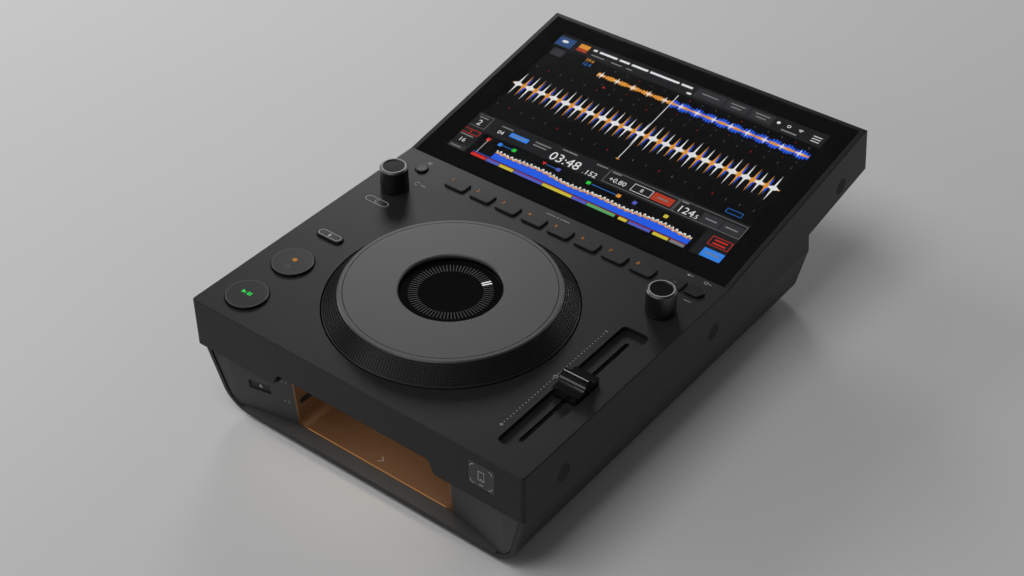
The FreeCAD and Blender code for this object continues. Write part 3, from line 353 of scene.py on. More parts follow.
class Drawing:
    """One flat mesh in millimetres. Each shape returns the drawing, so calls can be chained."""

    def __init__(self):
        self.mesh = bmesh.new()

    def polygon(self, sides, radius, place=Matrix()):
        """A filled circle or regular shape, and its corners."""
        made = bmesh.ops.create_circle(self.mesh, cap_ends=True, segments=sides, radius=radius,
                                       matrix=place)
        return made["verts"]

    def bar(self, left, right, low, high, turn=0.0):
        middle = Vector(((left + right) / 2, (low + high) / 2, 0))
        size = Matrix.Diagonal((right - left, high - low, 1, 1))
        place = Matrix.Translation(middle) @ Matrix.Rotation(turn, 4, "Z") @ size
        bmesh.ops.create_grid(self.mesh, x_segments=1, y_segments=1, size=0.5, matrix=place)
        return self

    def frame(self, left, right, low, high, line):
        self.bar(left, right, low, low + line)
        self.bar(left, right, high - line, high)
        self.bar(left, left + line, low + line, high - line)
        self.bar(right - line, right, low + line, high - line)
        return self

    def disc(self, x, y, radius, sides=24, stretch=1.0):
        place = Matrix.Translation((x, y, 0)) @ Matrix.Diagonal((1, stretch, 1, 1))
        self.polygon(sides, radius, place)
        return self

    def triangle(self, x, y, radius, turn):
        """A triangle that points to the right before it is turned."""
        place = Matrix.Translation((x, y, 0)) @ Matrix.Rotation(turn - QUARTER, 4, "Z")
        self.polygon(3, radius, place)
        return self

    def spike(self, x, y, reach, rise):
        """A star with four points and hollow sides: every second corner is pulled in."""
        place = Matrix.Translation((x, y, 0)) @ Matrix.Diagonal((reach, rise, 1, 1))
        points = self.polygon(8, 1.0)
        for point in points:
            if min(abs(point.co.x), abs(point.co.y)) > 0.1:
                point.co *= 0.24
        bmesh.ops.transform(self.mesh, matrix=place, verts=points)
        return self

    def ring(self, x, y, radius, line, start=0.0, turn=360.0, sides=48):
        """A ring or a part of one, made by spinning a short bar about its middle."""
        part = bmesh.ops.create_grid(self.mesh, x_segments=1, y_segments=1, size=0.5,
                                     matrix=Matrix.Diagonal((line, 0.001, 1, 1)))
        verts = part["verts"]
        faces = [face for face in self.mesh.faces if face.verts[0] in verts]
        bmesh.ops.delete(self.mesh, geom=faces, context="FACES_ONLY")
        edge = [item for item in self.mesh.edges if set(item.verts) <= set(verts)
                and item.calc_length() > line / 2 and item.verts[0].co.y < 0][0]
        others = [vert for vert in verts if vert not in edge.verts]
        bmesh.ops.delete(self.mesh, geom=others, context="VERTS")
        spot = Matrix.Translation((x, y, 0)) @ Matrix.Rotation(math.radians(start), 4, "Z")
        bmesh.ops.translate(self.mesh, verts=list(edge.verts), vec=(radius, 0.0005, 0))
        bmesh.ops.transform(self.mesh, verts=list(edge.verts), matrix=spot)
        bmesh.ops.spin(self.mesh, geom=[edge, *edge.verts], cent=(x, y, 0), axis=(0, 0, 1),
                       angle=math.radians(turn), steps=max(2, int(sides * turn / 360)),
                       use_duplicate=False, dvec=(0, 0, 0))
        return self

    def pill(self, x, y, length, depth, line):
        """The outline of a bar with round ends."""
        reach = (length - depth) / 2
        radius = (depth - line) / 2
        self.bar(x - reach, x + reach, y + radius - line / 2, y + radius + line / 2)
        self.bar(x - reach, x + reach, y - radius - line / 2, y - radius + line / 2)
        self.ring(x - reach, y, radius, line, 90, 180)
        self.ring(x + reach, y, radius, line, -90, 180)
        return self

    def number(self, words, x, y, height, align="LEFT"):
        """Digits and plain signs, turned into flat faces."""
        curve = bpy.data.curves.new("digits", "FONT")
        curve.body = words
        curve.size = height * CAP_HEIGHTS_PER_SIZE
        curve.align_x = align
        curve.align_y = "BOTTOM_BASELINE"
        curve.resolution_u = 2
        item = link(bpy.data.objects.new("digits", curve))
        bpy.context.view_layer.update()
        shown = item.evaluated_get(bpy.context.evaluated_depsgraph_get())
        flat = bpy.data.meshes.new_from_object(shown)
        flat.transform(Matrix.Translation((x, y, 0)))
        self.mesh.from_mesh(flat)
        bpy.data.objects.remove(item)
        bpy.data.meshes.remove(flat)
        return self

    def finish(self, name, matrix, skin, body, slot="key"):
        """Ends the drawing: its faces look up from the drawing before it is moved."""
        bmesh.ops.recalc_face_normals(self.mesh, faces=self.mesh.faces)
        for face in self.mesh.faces:
            if face.normal.z < 0:
                face.normal_flip()
        mesh = bpy.data.meshes.new(name)
        self.mesh.to_mesh(mesh)
        self.mesh.free()
        mesh.transform(matrix)
        mesh.materials.append(skin)
        item = link(bpy.data.objects.new(name, mesh))
        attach(item, body)
        return item


# %% [markdown]
# Ink is matt and slightly uneven. Light, for the lit marks, the screen and the painted highlight in
# the bay, comes from the surface itself, and a slow noise shifts its colour a little so that it
# isn't a flat fill.

# %% Ink and light
def ink(name, colour):
    shader = Shader(name)
    worn = shader.noise(900, 2)
    low = tuple(part * 0.8 for part in colour) + (1,)
    shader.set(Base_Color=shader.blend(worn, low, colour + (1,)), Roughness=worn * 0.2 + 0.45)
    return shader.material


def light(name, colour, strength=1.0):
    shader = Shader(name)
    slow = shader.noise(120, 1)
    low = tuple(part * 0.9 for part in colour) + (1,)
    shader.set(Base_Color=(0, 0, 0, 1), Emission_Color=shader.blend(slow, low, colour + (1,)),
               Emission_Strength=strength, Roughness=slow * 0.05 + 0.4, Specular_IOR_Level=0.1)
    return shader.material


white_ink = ink("white_ink", (0.55, 0.55, 0.55))
grey_ink = ink("grey_ink", (0.16, 0.16, 0.16))
orange_ink = light("orange_ink", (0.75, 0.28, 0.02), 0.6)
green_light = light("green_light", (0.03, 0.8, 0.12), 1.0)
glow = {
    "white": light("glow_white", (0.85, 0.85, 0.85)),
    "grey": light("glow_grey", (0.22, 0.22, 0.22)),
    "strip": light("glow_strip", (0.014, 0.014, 0.015)),
    "tab": light("glow_tab", (0.035, 0.035, 0.037)),
    "navy": light("glow_navy", (0.03, 0.08, 0.22)),
    "orange": light("glow_orange", (0.80, 0.33, 0.04)),
    "blue": light("glow_blue", (0.02, 0.12, 0.85)),
    "sky": light("glow_sky", (0.04, 0.25, 0.85)),
    "red": light("glow_red", (0.70, 0.03, 0.02)),
    "brick": light("glow_brick", (0.45, 0.05, 0.02)),
    "green": light("glow_green", (0.03, 0.62, 0.06)),
    "leaf": light("glow_leaf", (0.12, 0.42, 0.14)),
    "yellow": light("glow_yellow", (0.70, 0.58, 0.05)),
    "violet": light("glow_violet", (0.10, 0.12, 0.55)),
}

# %% [markdown]
# The screen's picture is drawn in layers, one drawing for each colour, stacked a hair apart so
# that a later layer covers an earlier one. Everything on it is generic: plain shapes, plain
# digits, and waves that come from a formula. Places are across from the left edge of the case
# and up the slope from the fold.

# %% The screen's layers
LAYER_ORDER = ["strip", "tab", "navy", "blue", "sky", "violet", "yellow", "leaf", "orange",
               "brick", "red", "green", "grey", "white"]
screen = {name: Drawing() for name in LAYER_ORDER}
PICTURE_LEFT, PICTURE_RIGHT, PICTURE_LOW, PICTURE_HIGH = 18.0, 236.0, 15.5, 152.2
print("layers", len(screen))

# %% [markdown]
# First come the dark strips behind the readings, then the tabs, the outlined boxes and the
# filled ones. Each call gives left, right, low and high, and a frame also gives its line.

# %% Panels and boxes
screen["strip"].bar(16.5, 33.5, 15.5, 54.5).bar(33.5, 235.8, 38.5, 54.5)
screen["strip"].bar(213.5, 235.8, 15.5, 38.5)
screen["strip"].bar(18, 235.8, 138.6, 152.2)
screen["tab"].bar(17, 31.8, 16.2, 20.6)
for left, right in ((134.8, 157.4), (158.6, 176.4), (177.6, 195.5)):
    screen["tab"].bar(left, right, 141.2, 150.6)
screen["tab"].bar(203.8, 218.5, 41.3, 50.3).bar(219.3, 233.6, 41.3, 50.3)
screen["grey"].frame(17.3, 31.2, 40.4, 52.6, 0.35)
screen["grey"].frame(129.6, 183.8, 40.3, 52.1, 0.35).frame(184.6, 235.0, 40.3, 52.5, 0.35)
screen["white"].frame(150.6, 165.6, 42.4, 49.4, 0.4)
screen["red"].frame(17.2, 31.8, 32.3, 36.9, 0.4)
screen["brick"].bar(166.4, 181.8, 42.5, 49.5)
screen["red"].frame(166.4, 181.8, 42.5, 49.5, 0.3).frame(219.8, 234.8, 27.4, 35.4, 0.4)
screen["sky"].bar(49.9, 65.0, 43.9, 48.0).bar(220.6, 235.6, 16.8, 24.4)
screen["sky"].frame(214.2, 226.0, 57.2, 61.2, 0.3)

# %% [markdown]
# The readings are made-up digits. Short grey bars stand where small words would be, and longer
# white ones where a title would be.

# %% Numbers and plain signs
screen["white"].number("2", 24.2, 42.4, 5.4, "CENTER").number("16", 24.2, 23.6, 3.9, "CENTER")
screen["white"].number("04", 40.6, 42.4, 3.6).number("03:48", 85.6, 39.8, 8.0)
screen["white"].number(".152", 113.8, 39.8, 4.6).number("+0.80", 132.8, 42.9, 4.2)
screen["white"].number("8", 158.1, 44.2, 3.2, "CENTER").number("124", 186.4, 41.9, 6.2)
screen["white"].number(".5", 199.0, 41.9, 3.8)
screen["red"].number("4", 24.5, 33.4, 2.4, "CENTER")
SMALL_BARS = (
    (20.4, 49.6, 7.5), (40.2, 49.2, 9.5), (69.5, 48.0, 13), (69.5, 45.2, 11), (90, 51.4, 12),
    (131.6, 50.2, 7), (186, 50.6, 5), (118, 51.2, 9), (18.8, 29.9, 11), (19.8, 17.6, 8.6),
    (52.4, 45.4, 10), (207, 45.2, 8.6), (222, 45.2, 9), (170, 45.4, 8.4), (139.6, 145.4, 13),
    (162, 147.0, 11), (163.5, 144.0, 8), (181.4, 147.0, 11), (183, 144.0, 8),
    (223, 20.1, 10.2), (49, 141.6, 11), (66, 141.6, 9), (79, 141.6, 5))
SMALL_BAR_DEPTH = 1.1
for x, y, length in SMALL_BARS:
    screen["grey"].bar(x, x + length, y, y + SMALL_BAR_DEPTH)
TITLE_BARS = ((47.8, 3.0), (53.0, 15.0), (70.0, 8.4), (80.4, 13.6), (96.0, 24.0), (122.0, 9.0))
for x, length in TITLE_BARS:
    screen["white"].bar(x, x + length, 146.2, 148.2)
for y in (32.2, 29.2):
    screen["red"].bar(222.6, 232.0, y, y + SMALL_BAR_DEPTH)
for rise in (0, 2.4, 4.8):
    screen["white"].bar(226.2, 232.6, 141.8 + rise, 142.5 + rise)
screen["white"].disc(199.6, 146.6, 1.3).ring(207.6, 146.6, 1.1, 0.5)
for radius in (0.6, 1.5, 2.4):
    screen["white"].ring(216.6, 145.2, radius, 0.5, 45, 90)
screen["grey"].bar(204.4, 216.0, 140.9, 142.3)
screen["navy"].bar(17.4, 31.4, 139.8, 149.4)
screen["white"].disc(24.4, 145.0, 2.6, 24, 0.55).disc(131.5, 141.6, 2.0, 24, 0.5)
screen["orange"].bar(36.0, 44.2, 141.4, 149.0)
screen["brick"].bar(36.0, 44.2, 141.4, 144.6)
screen["orange"].number("28.6", 48.4, 135.2, 3.0)
screen["sky"].number("12.4", 48.4, 130.8, 3.0)
screen["tab"].bar(21, 31, 128.8, 136.6)

# %% [markdown]
# A wave here is a row of thin bars. Its height comes from a few sines and a slow envelope, so it
# rises and falls as music does without being any one song's. Below it lies a row of coloured
# stretches, and above it stand the saved places.

# %% The long wave under the digits
def swell(part):
    """How high the long wave stands at a part of its length, at least 0.12."""
    slow = 0.62 + 0.2 * math.sin(part * 9.0) + 0.16 * math.sin(part * 23.0 + 1.1)
    fine = 0.14 * math.sin(part * 211.0) + 0.1 * math.sin(part * 389.0 + 0.6)
    envelope = 0.35 + 1.3 * part * (1.05 - part) + 0.3 * math.exp(-part * 8)
    return max(0.12, slow * envelope + fine * 0.5)


OVER_LEFT, OVER_RIGHT, OVER_LOW = 38.0, 209.5, 20.2
OVER_SPAN = OVER_RIGHT - OVER_LEFT
OVER_STEPS = 300
QUIET_PART = 0.08
for step in range(OVER_STEPS):
    part = step / OVER_STEPS
    left = OVER_LEFT + OVER_SPAN * part
    right = left + OVER_SPAN / OVER_STEPS * 1.05
    rise = 3.2 + 5.6 * swell(part)
    tip = 0.5 + 1.5 * abs(math.sin(part * 171.0))
    if part > QUIET_PART:
        screen["blue"].bar(left, right, OVER_LOW, OVER_LOW + rise)
        screen["orange"].bar(left, right, OVER_LOW + rise, OVER_LOW + rise + tip * 0.8)
        screen["white"].bar(left, right, OVER_LOW + rise + tip * 0.8, OVER_LOW + rise + tip * 1.5)
    else:
        screen["blue"].bar(left, right, OVER_LOW, OVER_LOW + 0.5)
screen["red"].bar(OVER_LEFT, OVER_RIGHT, OVER_LOW - 1.0, OVER_LOW - 0.7)
stretches = [("red", 0, 0.075), ("violet", 0.075, 0.14), ("yellow", 0.14, 0.21),
             ("violet", 0.21, 0.35), ("yellow", 0.35, 0.49), ("violet", 0.49, 0.56),
             ("leaf", 0.56, 0.69), ("yellow", 0.705, 0.745), ("violet", 0.75, 0.85),
             ("yellow", 0.86, 0.93), ("grey", 0.935, 1.0)]
for colour, start, end in stretches:
    screen[colour].bar(OVER_LEFT + OVER_SPAN * start, OVER_LEFT + OVER_SPAN * end - 0.4, 16.5, 19.0)
screen["white"].bar(OVER_LEFT, 215.0, 15.2, 15.6)
for x in (40, 66, 106, 156, 206):
    screen["white"].bar(x, x + 3, 14.0, 14.6)
screen["white"].bar(40.4, 40.7, 20.2, 33.4)
saved_places = (("red", 40.2), ("sky", 50.1), ("green", 62.0), ("violet", 99.0),
                ("green", 123.6), ("orange", 147.6), ("violet", 160.2), ("yellow", 184.5))
for colour, x in saved_places:
    screen[colour].bar(x - 1.5, x + 1.5, 32.8, 35.8)
screen["red"].triangle(87.1, 34.8, 1.9, math.radians(30))
for left, right in ((52, 60), (89, 97.5), (126, 146)):
    screen["sky"].bar(left, right, 34.1, 34.5)
print("long wave", OVER_STEPS, "bars,", len(stretches), "stretches")

# %% [markdown]
# The close wave has a white spike on each beat, with an orange and a blue one after it. The
# smaller wave above it is orange where it was played and mostly blue where it wasn't. A white
# line parts the two, and short ticks mark the beats, each fourth in red.

# %% The close wave and the one above it
BEAT = 10.35
FIRST_BEAT_X = 22.4
BEATS = 21
WAVE_Y = 91.0
for beat in range(BEATS):
    middle = FIRST_BEAT_X + beat * BEAT
    reach = 12.6 + 1.4 * math.sin(beat * 1.9)
    screen["white"].spike(middle, WAVE_Y, 4.2, reach)
    if beat < BEATS - 1:
        screen["blue"].spike(middle + BEAT * 0.62, WAVE_Y, 4.6, reach * 0.8)
        screen["orange"].spike(middle + BEAT * 0.5, WAVE_Y, 4.4, reach * 0.94)
CLOSE_STEPS = 430
for step in range(CLOSE_STEPS):
    part = step / CLOSE_STEPS
    left = 18 + 216 * part
    rise = 0.5 + 0.9 * abs(math.sin(part * 98.0)) ** 2
    screen["orange"].bar(left, left + 0.52, WAVE_Y - rise * 1.2, WAVE_Y + rise * 1.2)
UPPER_Y = 127.4
UPPER_LEFT = 65
NOW_X = 126.6
UPPER_STEPS = 338
for step in range(UPPER_STEPS):
    left = UPPER_LEFT + step * 0.5
    right = left + 0.5
    rise = 1.3 + 1.5 * abs(math.sin(left * 0.31)) + 0.7 * math.sin(left * 2.7)
    if left < NOW_X:
        screen["orange"].bar(left, right, UPPER_Y - rise * 0.7, UPPER_Y + rise * 0.7)
    else:
        screen["blue"].bar(left, right, UPPER_Y - rise * 1.4, UPPER_Y + rise * 1.4)
        screen["orange"].bar(left, right, UPPER_Y - rise * 0.45, UPPER_Y + rise * 0.45)
for beat in range(13):
    screen["white"].spike(68.4 + beat * 13.2, UPPER_Y, 3.4, 3.8)
screen["white"].bar(126.4, 126.9, 63.7, 136.4)
screen["orange"].bar(125.4, 127.9, 62.6, 63.6)
for number in range(BEATS):
    x = FIRST_BEAT_X + number * BEAT
    for y in (66.0, 112.0):
        screen["red" if number % 4 == 1 else "grey"].bar(x, x + 0.35, y, y + 2.0)
    if x > UPPER_LEFT + 1:
        for y in (118.6, 134.6):
            screen["red" if number % 4 == 3 else "grey"].bar(x, x + 0.35, y, y + 1.4)
screen["red"].disc(77.2, 117.4, 0.9)
print("beats", BEATS, "bars", CLOSE_STEPS + UPPER_STEPS)

# %% [markdown]
# The layers lie just above the panel, which is 2.5 mm below the face of the glass. The glass is
# printed black around the picture, so a border of four bars lies inside it near its back.

# %% Lay the picture under the glass
LOWEST_LAYER, LAYER_STEP, BORDER_HEIGHT = -2.46, 0.02, -1.46
for number, (name, drawing) in enumerate(screen.items()):
    height = LOWEST_LAYER + LAYER_STEP * number
    drawing.finish("picture_" + name, screen_matrix(height), glow[name], "case", "screen")

GLASS_LEFT, GLASS_RIGHT, GLASS_LOW, GLASS_HIGH = 3.9, 250.1, 0.1, 164.4
mask = Drawing()
mask.bar(GLASS_LEFT, GLASS_RIGHT, GLASS_LOW, PICTURE_LOW)
mask.bar(GLASS_LEFT, GLASS_RIGHT, PICTURE_HIGH, GLASS_HIGH)
mask.bar(GLASS_LEFT, PICTURE_LEFT, PICTURE_LOW, PICTURE_HIGH)
mask.bar(PICTURE_RIGHT, GLASS_RIGHT, PICTURE_LOW, PICTURE_HIGH)
mask.finish("glass_border", screen_matrix(BORDER_HEIGHT), black_gloss, "case", "screen")

# %% [markdown]
# The display in the wheel's middle shows a ring of short radial ticks, two of them white. They
# lie on its glass and don't turn with the wheel.

# %% Ticks of the wheel's display
ticks = Drawing()
bright = Drawing()
TICK_COUNT = 72
TICK_REACH, TICK_HALF_LENGTH = 22.9, 3.1
WHITE_TICKS = (11, 12)
DISPLAY_TOP = 8.05
for number in range(TICK_COUNT):
    angle = math.tau * number / TICK_COUNT
    middle = WHEEL + TICK_REACH * Vector((math.cos(angle), math.sin(angle)))
    is_white = number in WHITE_TICKS
    board = bright if is_white else ticks
    half = 0.52 if is_white else 0.32
    board.bar(middle.x - TICK_HALF_LENGTH, middle.x + TICK_HALF_LENGTH,
              middle.y - half, middle.y + half, angle)
tick_light = light("tick_light", (0.032, 0.032, 0.032))
ticks.finish("display_ticks", deck_matrix(z=DISPLAY_TOP), tick_light, "case", "display")
bright.finish("display_marks", deck_matrix(z=DISPLAY_TOP), glow["white"], "case", "display")
print("ticks", TICK_COUNT)

# %% [markdown]
# The grip of the wheel is a cone covered with small pits in rows. It is spun from its profile,
# the sloping faces are picked, and each is set in and pushed down. Its flat top has the skin of
# the plate beside it. This ring takes the place of the plainer one in the frame.

# %% The pitted grip
def grip():
    """The ring with its pits, spun about the wheel's axis."""
    pits, rows = 240, 8
    outer, top_outer, rise = 78.2, 67.7, 11.4
    pit_low, pit_high = 0.6, rise - 0.9
    inner, skirt_inner, skirt_low = 65.3, 75.1, -9.0
    profile = [(inner, 8.2), (inner, rise), (top_outer - 0.3, rise), (top_outer + 0.25, rise - 0.5)]
    slope = (outer - top_outer) / rise
    for row in range(rows + 1):
        height = pit_high + (pit_low - pit_high) * row / rows
        profile.append((outer - height * slope, height))
    profile += [(outer, 0.0), (outer, skirt_low), (skirt_inner, skirt_low), (71.5, 1.5)]
    mesh = bmesh.new()
    verts = [mesh.verts.new((reach, 0, height)) for reach, height in profile]
    edges = [mesh.edges.new(pair) for pair in zip(verts, verts[1:] + verts[:1])]
    bmesh.ops.spin(mesh, geom=verts + edges, cent=(0, 0, 0), axis=(0, 0, 1), angle=math.tau,
                   steps=pits, use_duplicate=False)
    bmesh.ops.remove_doubles(mesh, verts=mesh.verts, dist=0.001)
    bmesh.ops.recalc_face_normals(mesh, faces=mesh.faces)

    def on_grip(face):
        middle = face.calc_center_median()
        return pit_low < middle.z < pit_high and face.normal.z > 0.3 and middle.xy.length > 66

    chosen = [face for face in mesh.faces if on_grip(face)]
    bmesh.ops.inset_individual(mesh, faces=chosen, thickness=0.26, depth=0.0)
    bmesh.ops.inset_individual(mesh, faces=chosen, thickness=0.2, depth=-0.55)
    flat = bpy.data.meshes.new("jog_grip")
    mesh.to_mesh(flat)
    mesh.free()
    flat.transform(deck_matrix(WHEEL.x, WHEEL.y, 0))
    flat.materials.append(grip_skin)
    flat.materials.append(turned_skin)
    for face in flat.polygons:
        face.material_index = int(face.center.z > (CORNER.z + rise - 0.3) * MM)
    item = link(bpy.data.objects.new("jog_grip", flat))
    print("grip faces", len(flat.polygons), "pits", len(chosen))
    return item


ring = grip()
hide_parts("jog_ring")
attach(ring, "jog_wheel")

# %% [markdown]
# Marks on the keys ride with them: a play and pause sign, a dot and ring for the cue key, an
# outlined pill, and the numbers of the eight pads.

# %% Marks on the keys
key_plane = deck_matrix(z=1.56)
LEFT_KEYS_X = 24.9
LINE = 0.35
play = Drawing()
play.triangle(21.6, 23.4, 1.8, 0).bar(23.9, 24.2, 21.4, 25.0, -0.5)
play.bar(25.3, 26.2, 22.0, 25.0).bar(26.9, 27.8, 22.0, 25.0)
play.finish("play_mark", key_plane, green_light, "play_button_body")
cue = Drawing().disc(25.0, 65.0, 1.7)
cue.finish("cue_mark", key_plane, orange_ink, "cue_button_body")
small = Drawing().ring(25.6, 57.4, 1.4, LINE).bar(27.6, 28.6, 57.2, 57.6)
small.finish("cue_small_mark", key_plane, grey_ink, "cue_button_body")
for label, y in (("play", 22.8), ("cue", 63.1)):
    rim = Drawing().ring(LEFT_KEYS_X, y, 12.9, 0.3, sides=96)
    rim.finish(label + "_rim", key_plane, grey_ink, label + "_button_body")
shift_mark = Drawing().pill(LEFT_KEYS_X, 97.3, 17.4, 5.4, LINE)
shift_mark.triangle(LEFT_KEYS_X, 97.6, 1.3, QUARTER).bar(24.4, 25.4, 95.6, 97.2)
shift_mark.finish("shift_mark", key_plane, white_ink, "shift_button_body")
PADS, PAD_LEFT, PAD_PITCH = 8, 45.7, 21.1
for number in range(PADS):
    label = "pad_%d" % (number + 1)
    digit = Drawing().number(str(number + 1), PAD_LEFT + number * PAD_PITCH + 1.6, 190.9, 2.9)
    digit.finish(label + "_number", key_plane, orange_ink, label + "_body", "pad")
back = Drawing().bar(223.2, 225.2, 190.6, 191.1)
back.finish("back_mark", key_plane, grey_ink, "back_button_body", "pad")
print("numbered pads", PADS)

# %% [markdown]
# The deck's own prints: the dotted scale of the tempo slider with its plus, ring and minus, an
# outlined pill, and short dashes where a maker would put words. The knobs get a pale ring painted
# on the rim as the highlight of its polished chamfer, and a dark dish, and the slider its white
# line, which all ride with them.

# %% Prints on the deck, and painted highlights on the knobs' rims
prints = Drawing()
SCALE_X, SCALE_LOW, SCALE_HIGH = 217.5, 27.1, 128.1
DOTS = 36
for number in range(1, DOTS):
    y = SCALE_LOW + (SCALE_HIGH - SCALE_LOW) * number / DOTS
    if number != DOTS // 2:
        prints.disc(SCALE_X, y, 0.32, 10)
prints.ring(SCALE_X, (SCALE_LOW + SCALE_HIGH) / 2, 1.1, LINE)
ARM, HALF_LINE = 1.2, 0.18
for y in (SCALE_LOW, SCALE_HIGH):
    prints.bar(SCALE_X - ARM, SCALE_X + ARM, y - HALF_LINE, y + HALF_LINE)
prints.bar(SCALE_X - HALF_LINE, SCALE_X + HALF_LINE, SCALE_LOW - ARM, SCALE_LOW + ARM)
prints.pill(22.9, 144.6, 18.0, 5.6, LINE)
prints.ring(22.9, 144.6, 1.3, 0.3, 40, 280)
for turn in (0.785, -0.785):
    prints.bar(21.0, 24.8, 198.4, 198.9, turn)
prints.ring(31.0, 175.6, 1.6, LINE, 40, 280).bar(34.0, 38.0, 175.4, 175.9)
prints.bar(118.0, 125.6, 201.2, 201.6).disc(127.4, 201.4, 0.5, 12)
prints.bar(129.2, 136.8, 201.2, 201.6)
prints.triangle(226.4, 203.2, 1.2, math.pi).bar(227.0, 230.0, 203.0, 203.4)
prints.ring(239.4, 202.6, 1.2, LINE).bar(241.0, 243.4, 202.4, 202.8)
prints.bar(237.0, 242.0, 180.9, 181.3)
prints.finish("deck_prints", deck_matrix(z=0.05), white_ink, "case", "case")
KNOB_Y, KNOB_TOP, DISH_TOP = 163.5, 17.32, 16.54
for label, x in (("left", 22.0), ("right", 232.0)):
    # The pale ring on each knob is a painted highlight: the shine of its polished chamfer, drawn in
    # white.
    rim = Drawing().ring(x, KNOB_Y, 7.75, 0.5, sides=64)
    rim.finish(label + "_knob_rim", deck_matrix(z=KNOB_TOP), white_ink, label + "_turn", "knob")
    dish = Drawing().disc(x, KNOB_Y, 6.9, 48)
    dish.finish(label + "_knob_dish", deck_matrix(z=DISH_TOP), black_gloss, label + "_turn", "knob")
stripe = Drawing().bar(223.5, 240.7, 77.0, 77.6)
stripe.finish("slider_line", deck_matrix(z=8.86), white_ink, "tempo_slider", "cap")
print("scale dots", DOTS - 2)

# %% [markdown]
# The reader window has arcs at its corners and a plain outline of a handset. The numbers beside
# the bay name its two ports, and the eject key has the usual sign. The panel beside the bay is
# turned and leaned, so the marks on it are too.

# %% Prints on the front
reader = Drawing()
LEFT, RIGHT, LOW, HIGH = 216.6, 231.7, -23.4, -8.9
ARC = 2.4
for x, y, start in ((LEFT + ARC, LOW + ARC, 180), (RIGHT - ARC, LOW + ARC, 270),
                    (RIGHT - ARC, HIGH - ARC, 0), (LEFT + ARC, HIGH - ARC, 90)):
    reader.ring(x, y, ARC, 0.45, start, 90)
reader.frame(221.9, 226.4, -19.2, -12.2, 0.45).bar(223.4, 224.9, -18.2, -17.7)
reader.ring(225.4, -15.4, 0.9, LINE, -60, 120).bar(222.6, 225.7, -22.6, -22.0)
reader.finish("reader_print", front_matrix(0.15), white_ink, "case", "window")


def wing_matrix(reach, up):
    """The place on the left wing of the front panel, by its reach from the middle of the case."""
    turn_in, lean = 0.2016, 0.0791
    depth = 4.5 + (107.0 - reach) * turn_in + (-34.7 - up) * lean
    across = Vector((1, turn_in, 0)).normalized()
    rise = Vector((0, -lean, 1)).normalized()
    out = across.cross(rise).normalized()
    place = (CORNER + Vector((127.0 - reach, depth, up)) + out * 0.12) * MM
    turn = Matrix((across, rise, out)).transposed().to_4x4()
    return Matrix.Translation(place) @ turn @ Matrix.Scale(MM, 4)


for number, up in (("1", -46.2), ("2", -62.8)):
    digit = Drawing().number(number, 0, 0, 2.4, "CENTER").bar(-3.6, -2.2, 0.9, 1.4)
    digit.finish("port_number_" + number, wing_matrix(66.4, up), white_ink, "case", "panel")
eject = Drawing().triangle(0, 0.5, 1.5, QUARTER).bar(-1.3, 1.3, -1.2, -0.7)
eject_place = wing_matrix(86.8, -57.4)
eject_place.translation.y += 1.1 * MM
eject.finish("eject_mark", eject_place, white_ink, "eject", "key")

# %% [markdown]
# A thin warm glowing line is painted along the front edge of the bay's floor as the highlight of
# its bevel, and a chevron behind it shows the way in. The lamp that lights the bay hangs under its
# roof and comes with the other lamps.

# %% Painted edge highlight and chevron in the bay
floor_plane = deck_matrix(z=-79.95)
# The warm line glows by itself: it is a painted highlight for the light caught on the floor's front
# bevel.
painted_edge_highlight = light("painted_edge_highlight", (1.0, 0.45, 0.14), 0.35)
strip = Drawing().bar(66.8, 187.2, 17.6, 18.2)
strip.finish("bay_edge_highlight", floor_plane, painted_edge_highlight, "case", "bay")
chevron = Drawing().bar(124.4, 128.2, 23.4, 23.9, math.radians(40))
chevron.bar(124.4, 128.2, 25.6, 26.1, math.radians(-40))
chevron.finish("bay_chevron", floor_plane, white_ink, "case", "bay")


# %% [markdown]
# The room is lit by large soft lamps, placed so that the screen's glass doesn't mirror them into
# the camera. The sheen lamp stands low at the back left, across from the camera, and gives the
# dark deck its shine. A small one hangs under the roof of the bay.

# %% Lamps
def area_lamp(name, size, power, colour=(1, 1, 1)):
    """A rectangular lamp that shines down. Sizes and places of lamps are in metres."""
    data = bpy.data.lights.new(name, "AREA")
    data.shape = "RECTANGLE"
    data.size, data.size_y = size
    data.energy = power
    data.color = colour
    return link(bpy.data.objects.new(name, data))


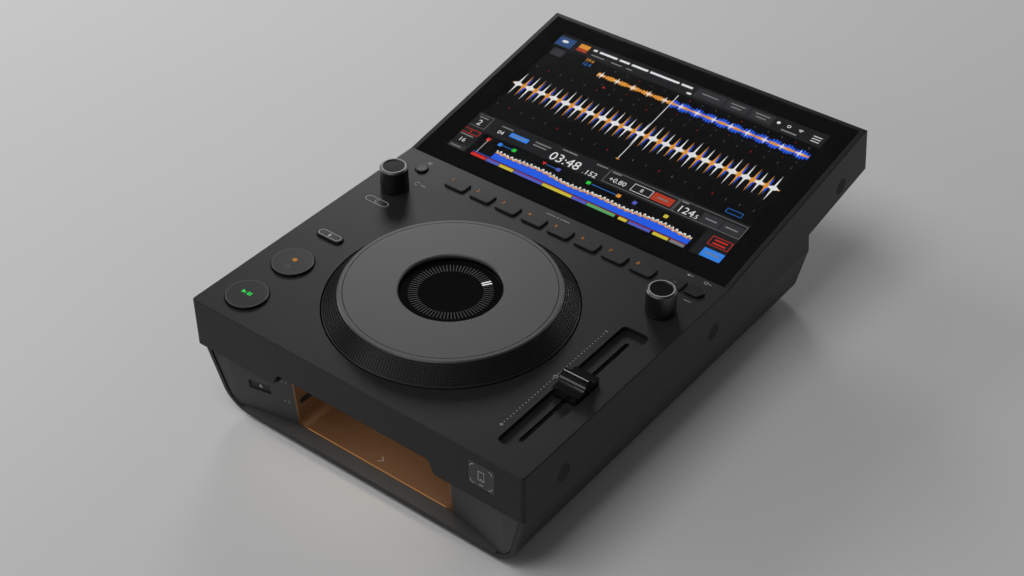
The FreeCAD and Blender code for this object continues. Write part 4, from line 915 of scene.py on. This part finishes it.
LAMP_AIM = Vector((0, 0, 0.06))
studio_lamps = (
    ("key_lamp", (-0.2, -0.9, 2.1), (1.2, 1.2), 18),
    ("sheen_lamp", (-1.06, 1.04, 0.76), (0.5, 0.4), 5),
    ("back_lamp", (0.5, 1.8, 0.8), (1.4, 0.5), 6),
    ("side_lamp", (-1.6, -0.2, 0.9), (0.6, 1.0), 9),
    ("front_lamp", (-0.8, -1.5, 0.8), (1.0, 0.6), 3))
for name, place, size, power in studio_lamps:
    lamp = area_lamp(name, size, power)
    lamp.location = place
    lamp.rotation_euler = (LAMP_AIM - Vector(place)).to_track_quat("-Z", "Y").to_euler()
bay_lamp = area_lamp("bay_lamp", (0.11, 0.02), 0.012, (1.0, 0.86, 0.7))
bay_lamp.location = (CORNER + Vector((127, 34, -28.5))) * MM
print("lamps", len(studio_lamps) + 1)

# %% [markdown]
# The floor is one large sheet of pale paper. The world around it is nearly dark, so that the
# glass has little to mirror.

# %% Floor and background
floor_mesh = bmesh.new()
bmesh.ops.create_grid(floor_mesh, x_segments=1, y_segments=1, size=4.0)
floor_data = bpy.data.meshes.new("floor")
floor_mesh.to_mesh(floor_data)
floor_mesh.free()
paper = Shader("paper")
mottle = paper.noise(2, 2)
paper.set(Base_Color=paper.blend(mottle, tint(0.66), tint(0.7)), Roughness=mottle * 0.1 + 0.8)
floor_data.materials.append(paper.material)
floor = link(bpy.data.objects.new("floor", floor_data))
world = bpy.data.worlds.new("studio")
world.use_nodes = True
backdrop = world.node_tree.nodes["Background"]
backdrop.inputs["Color"].default_value = (0.9, 0.92, 0.95, 1)
backdrop.inputs["Strength"].default_value = 0.045
bpy.context.scene.world = world
print("floor", floor.name, "materials", len(bpy.data.materials))

# %% [markdown]
# The camera stands where the photographer stood: it was fitted to the edges and circles that the
# photograph shows. Its forward and right directions give the third one.

# %% Camera
camera_data = bpy.data.cameras.new("camera")
camera_data.sensor_width = 36.0
camera_data.lens = 61.167
camera_data.clip_start = 0.01
camera = link(bpy.data.objects.new("camera", camera_data))
CAMERA_PLACE = Vector((656.40, -527.97, 663.73))
forward = Vector((-0.47882, 0.61642, -0.62510))
right = Vector((0.79089, 0.61195, -0.00237))
up = right.cross(forward)
turn = Matrix((right, up, -forward)).transposed().to_4x4()
camera.matrix_world = Matrix.Translation((CORNER + CAMERA_PLACE) * MM) @ turn
bpy.context.scene.camera = camera
bpy.context.scene.view_settings.view_transform = "Standard"
print("camera at", [round(part, 4) for part in camera.matrix_world.translation])
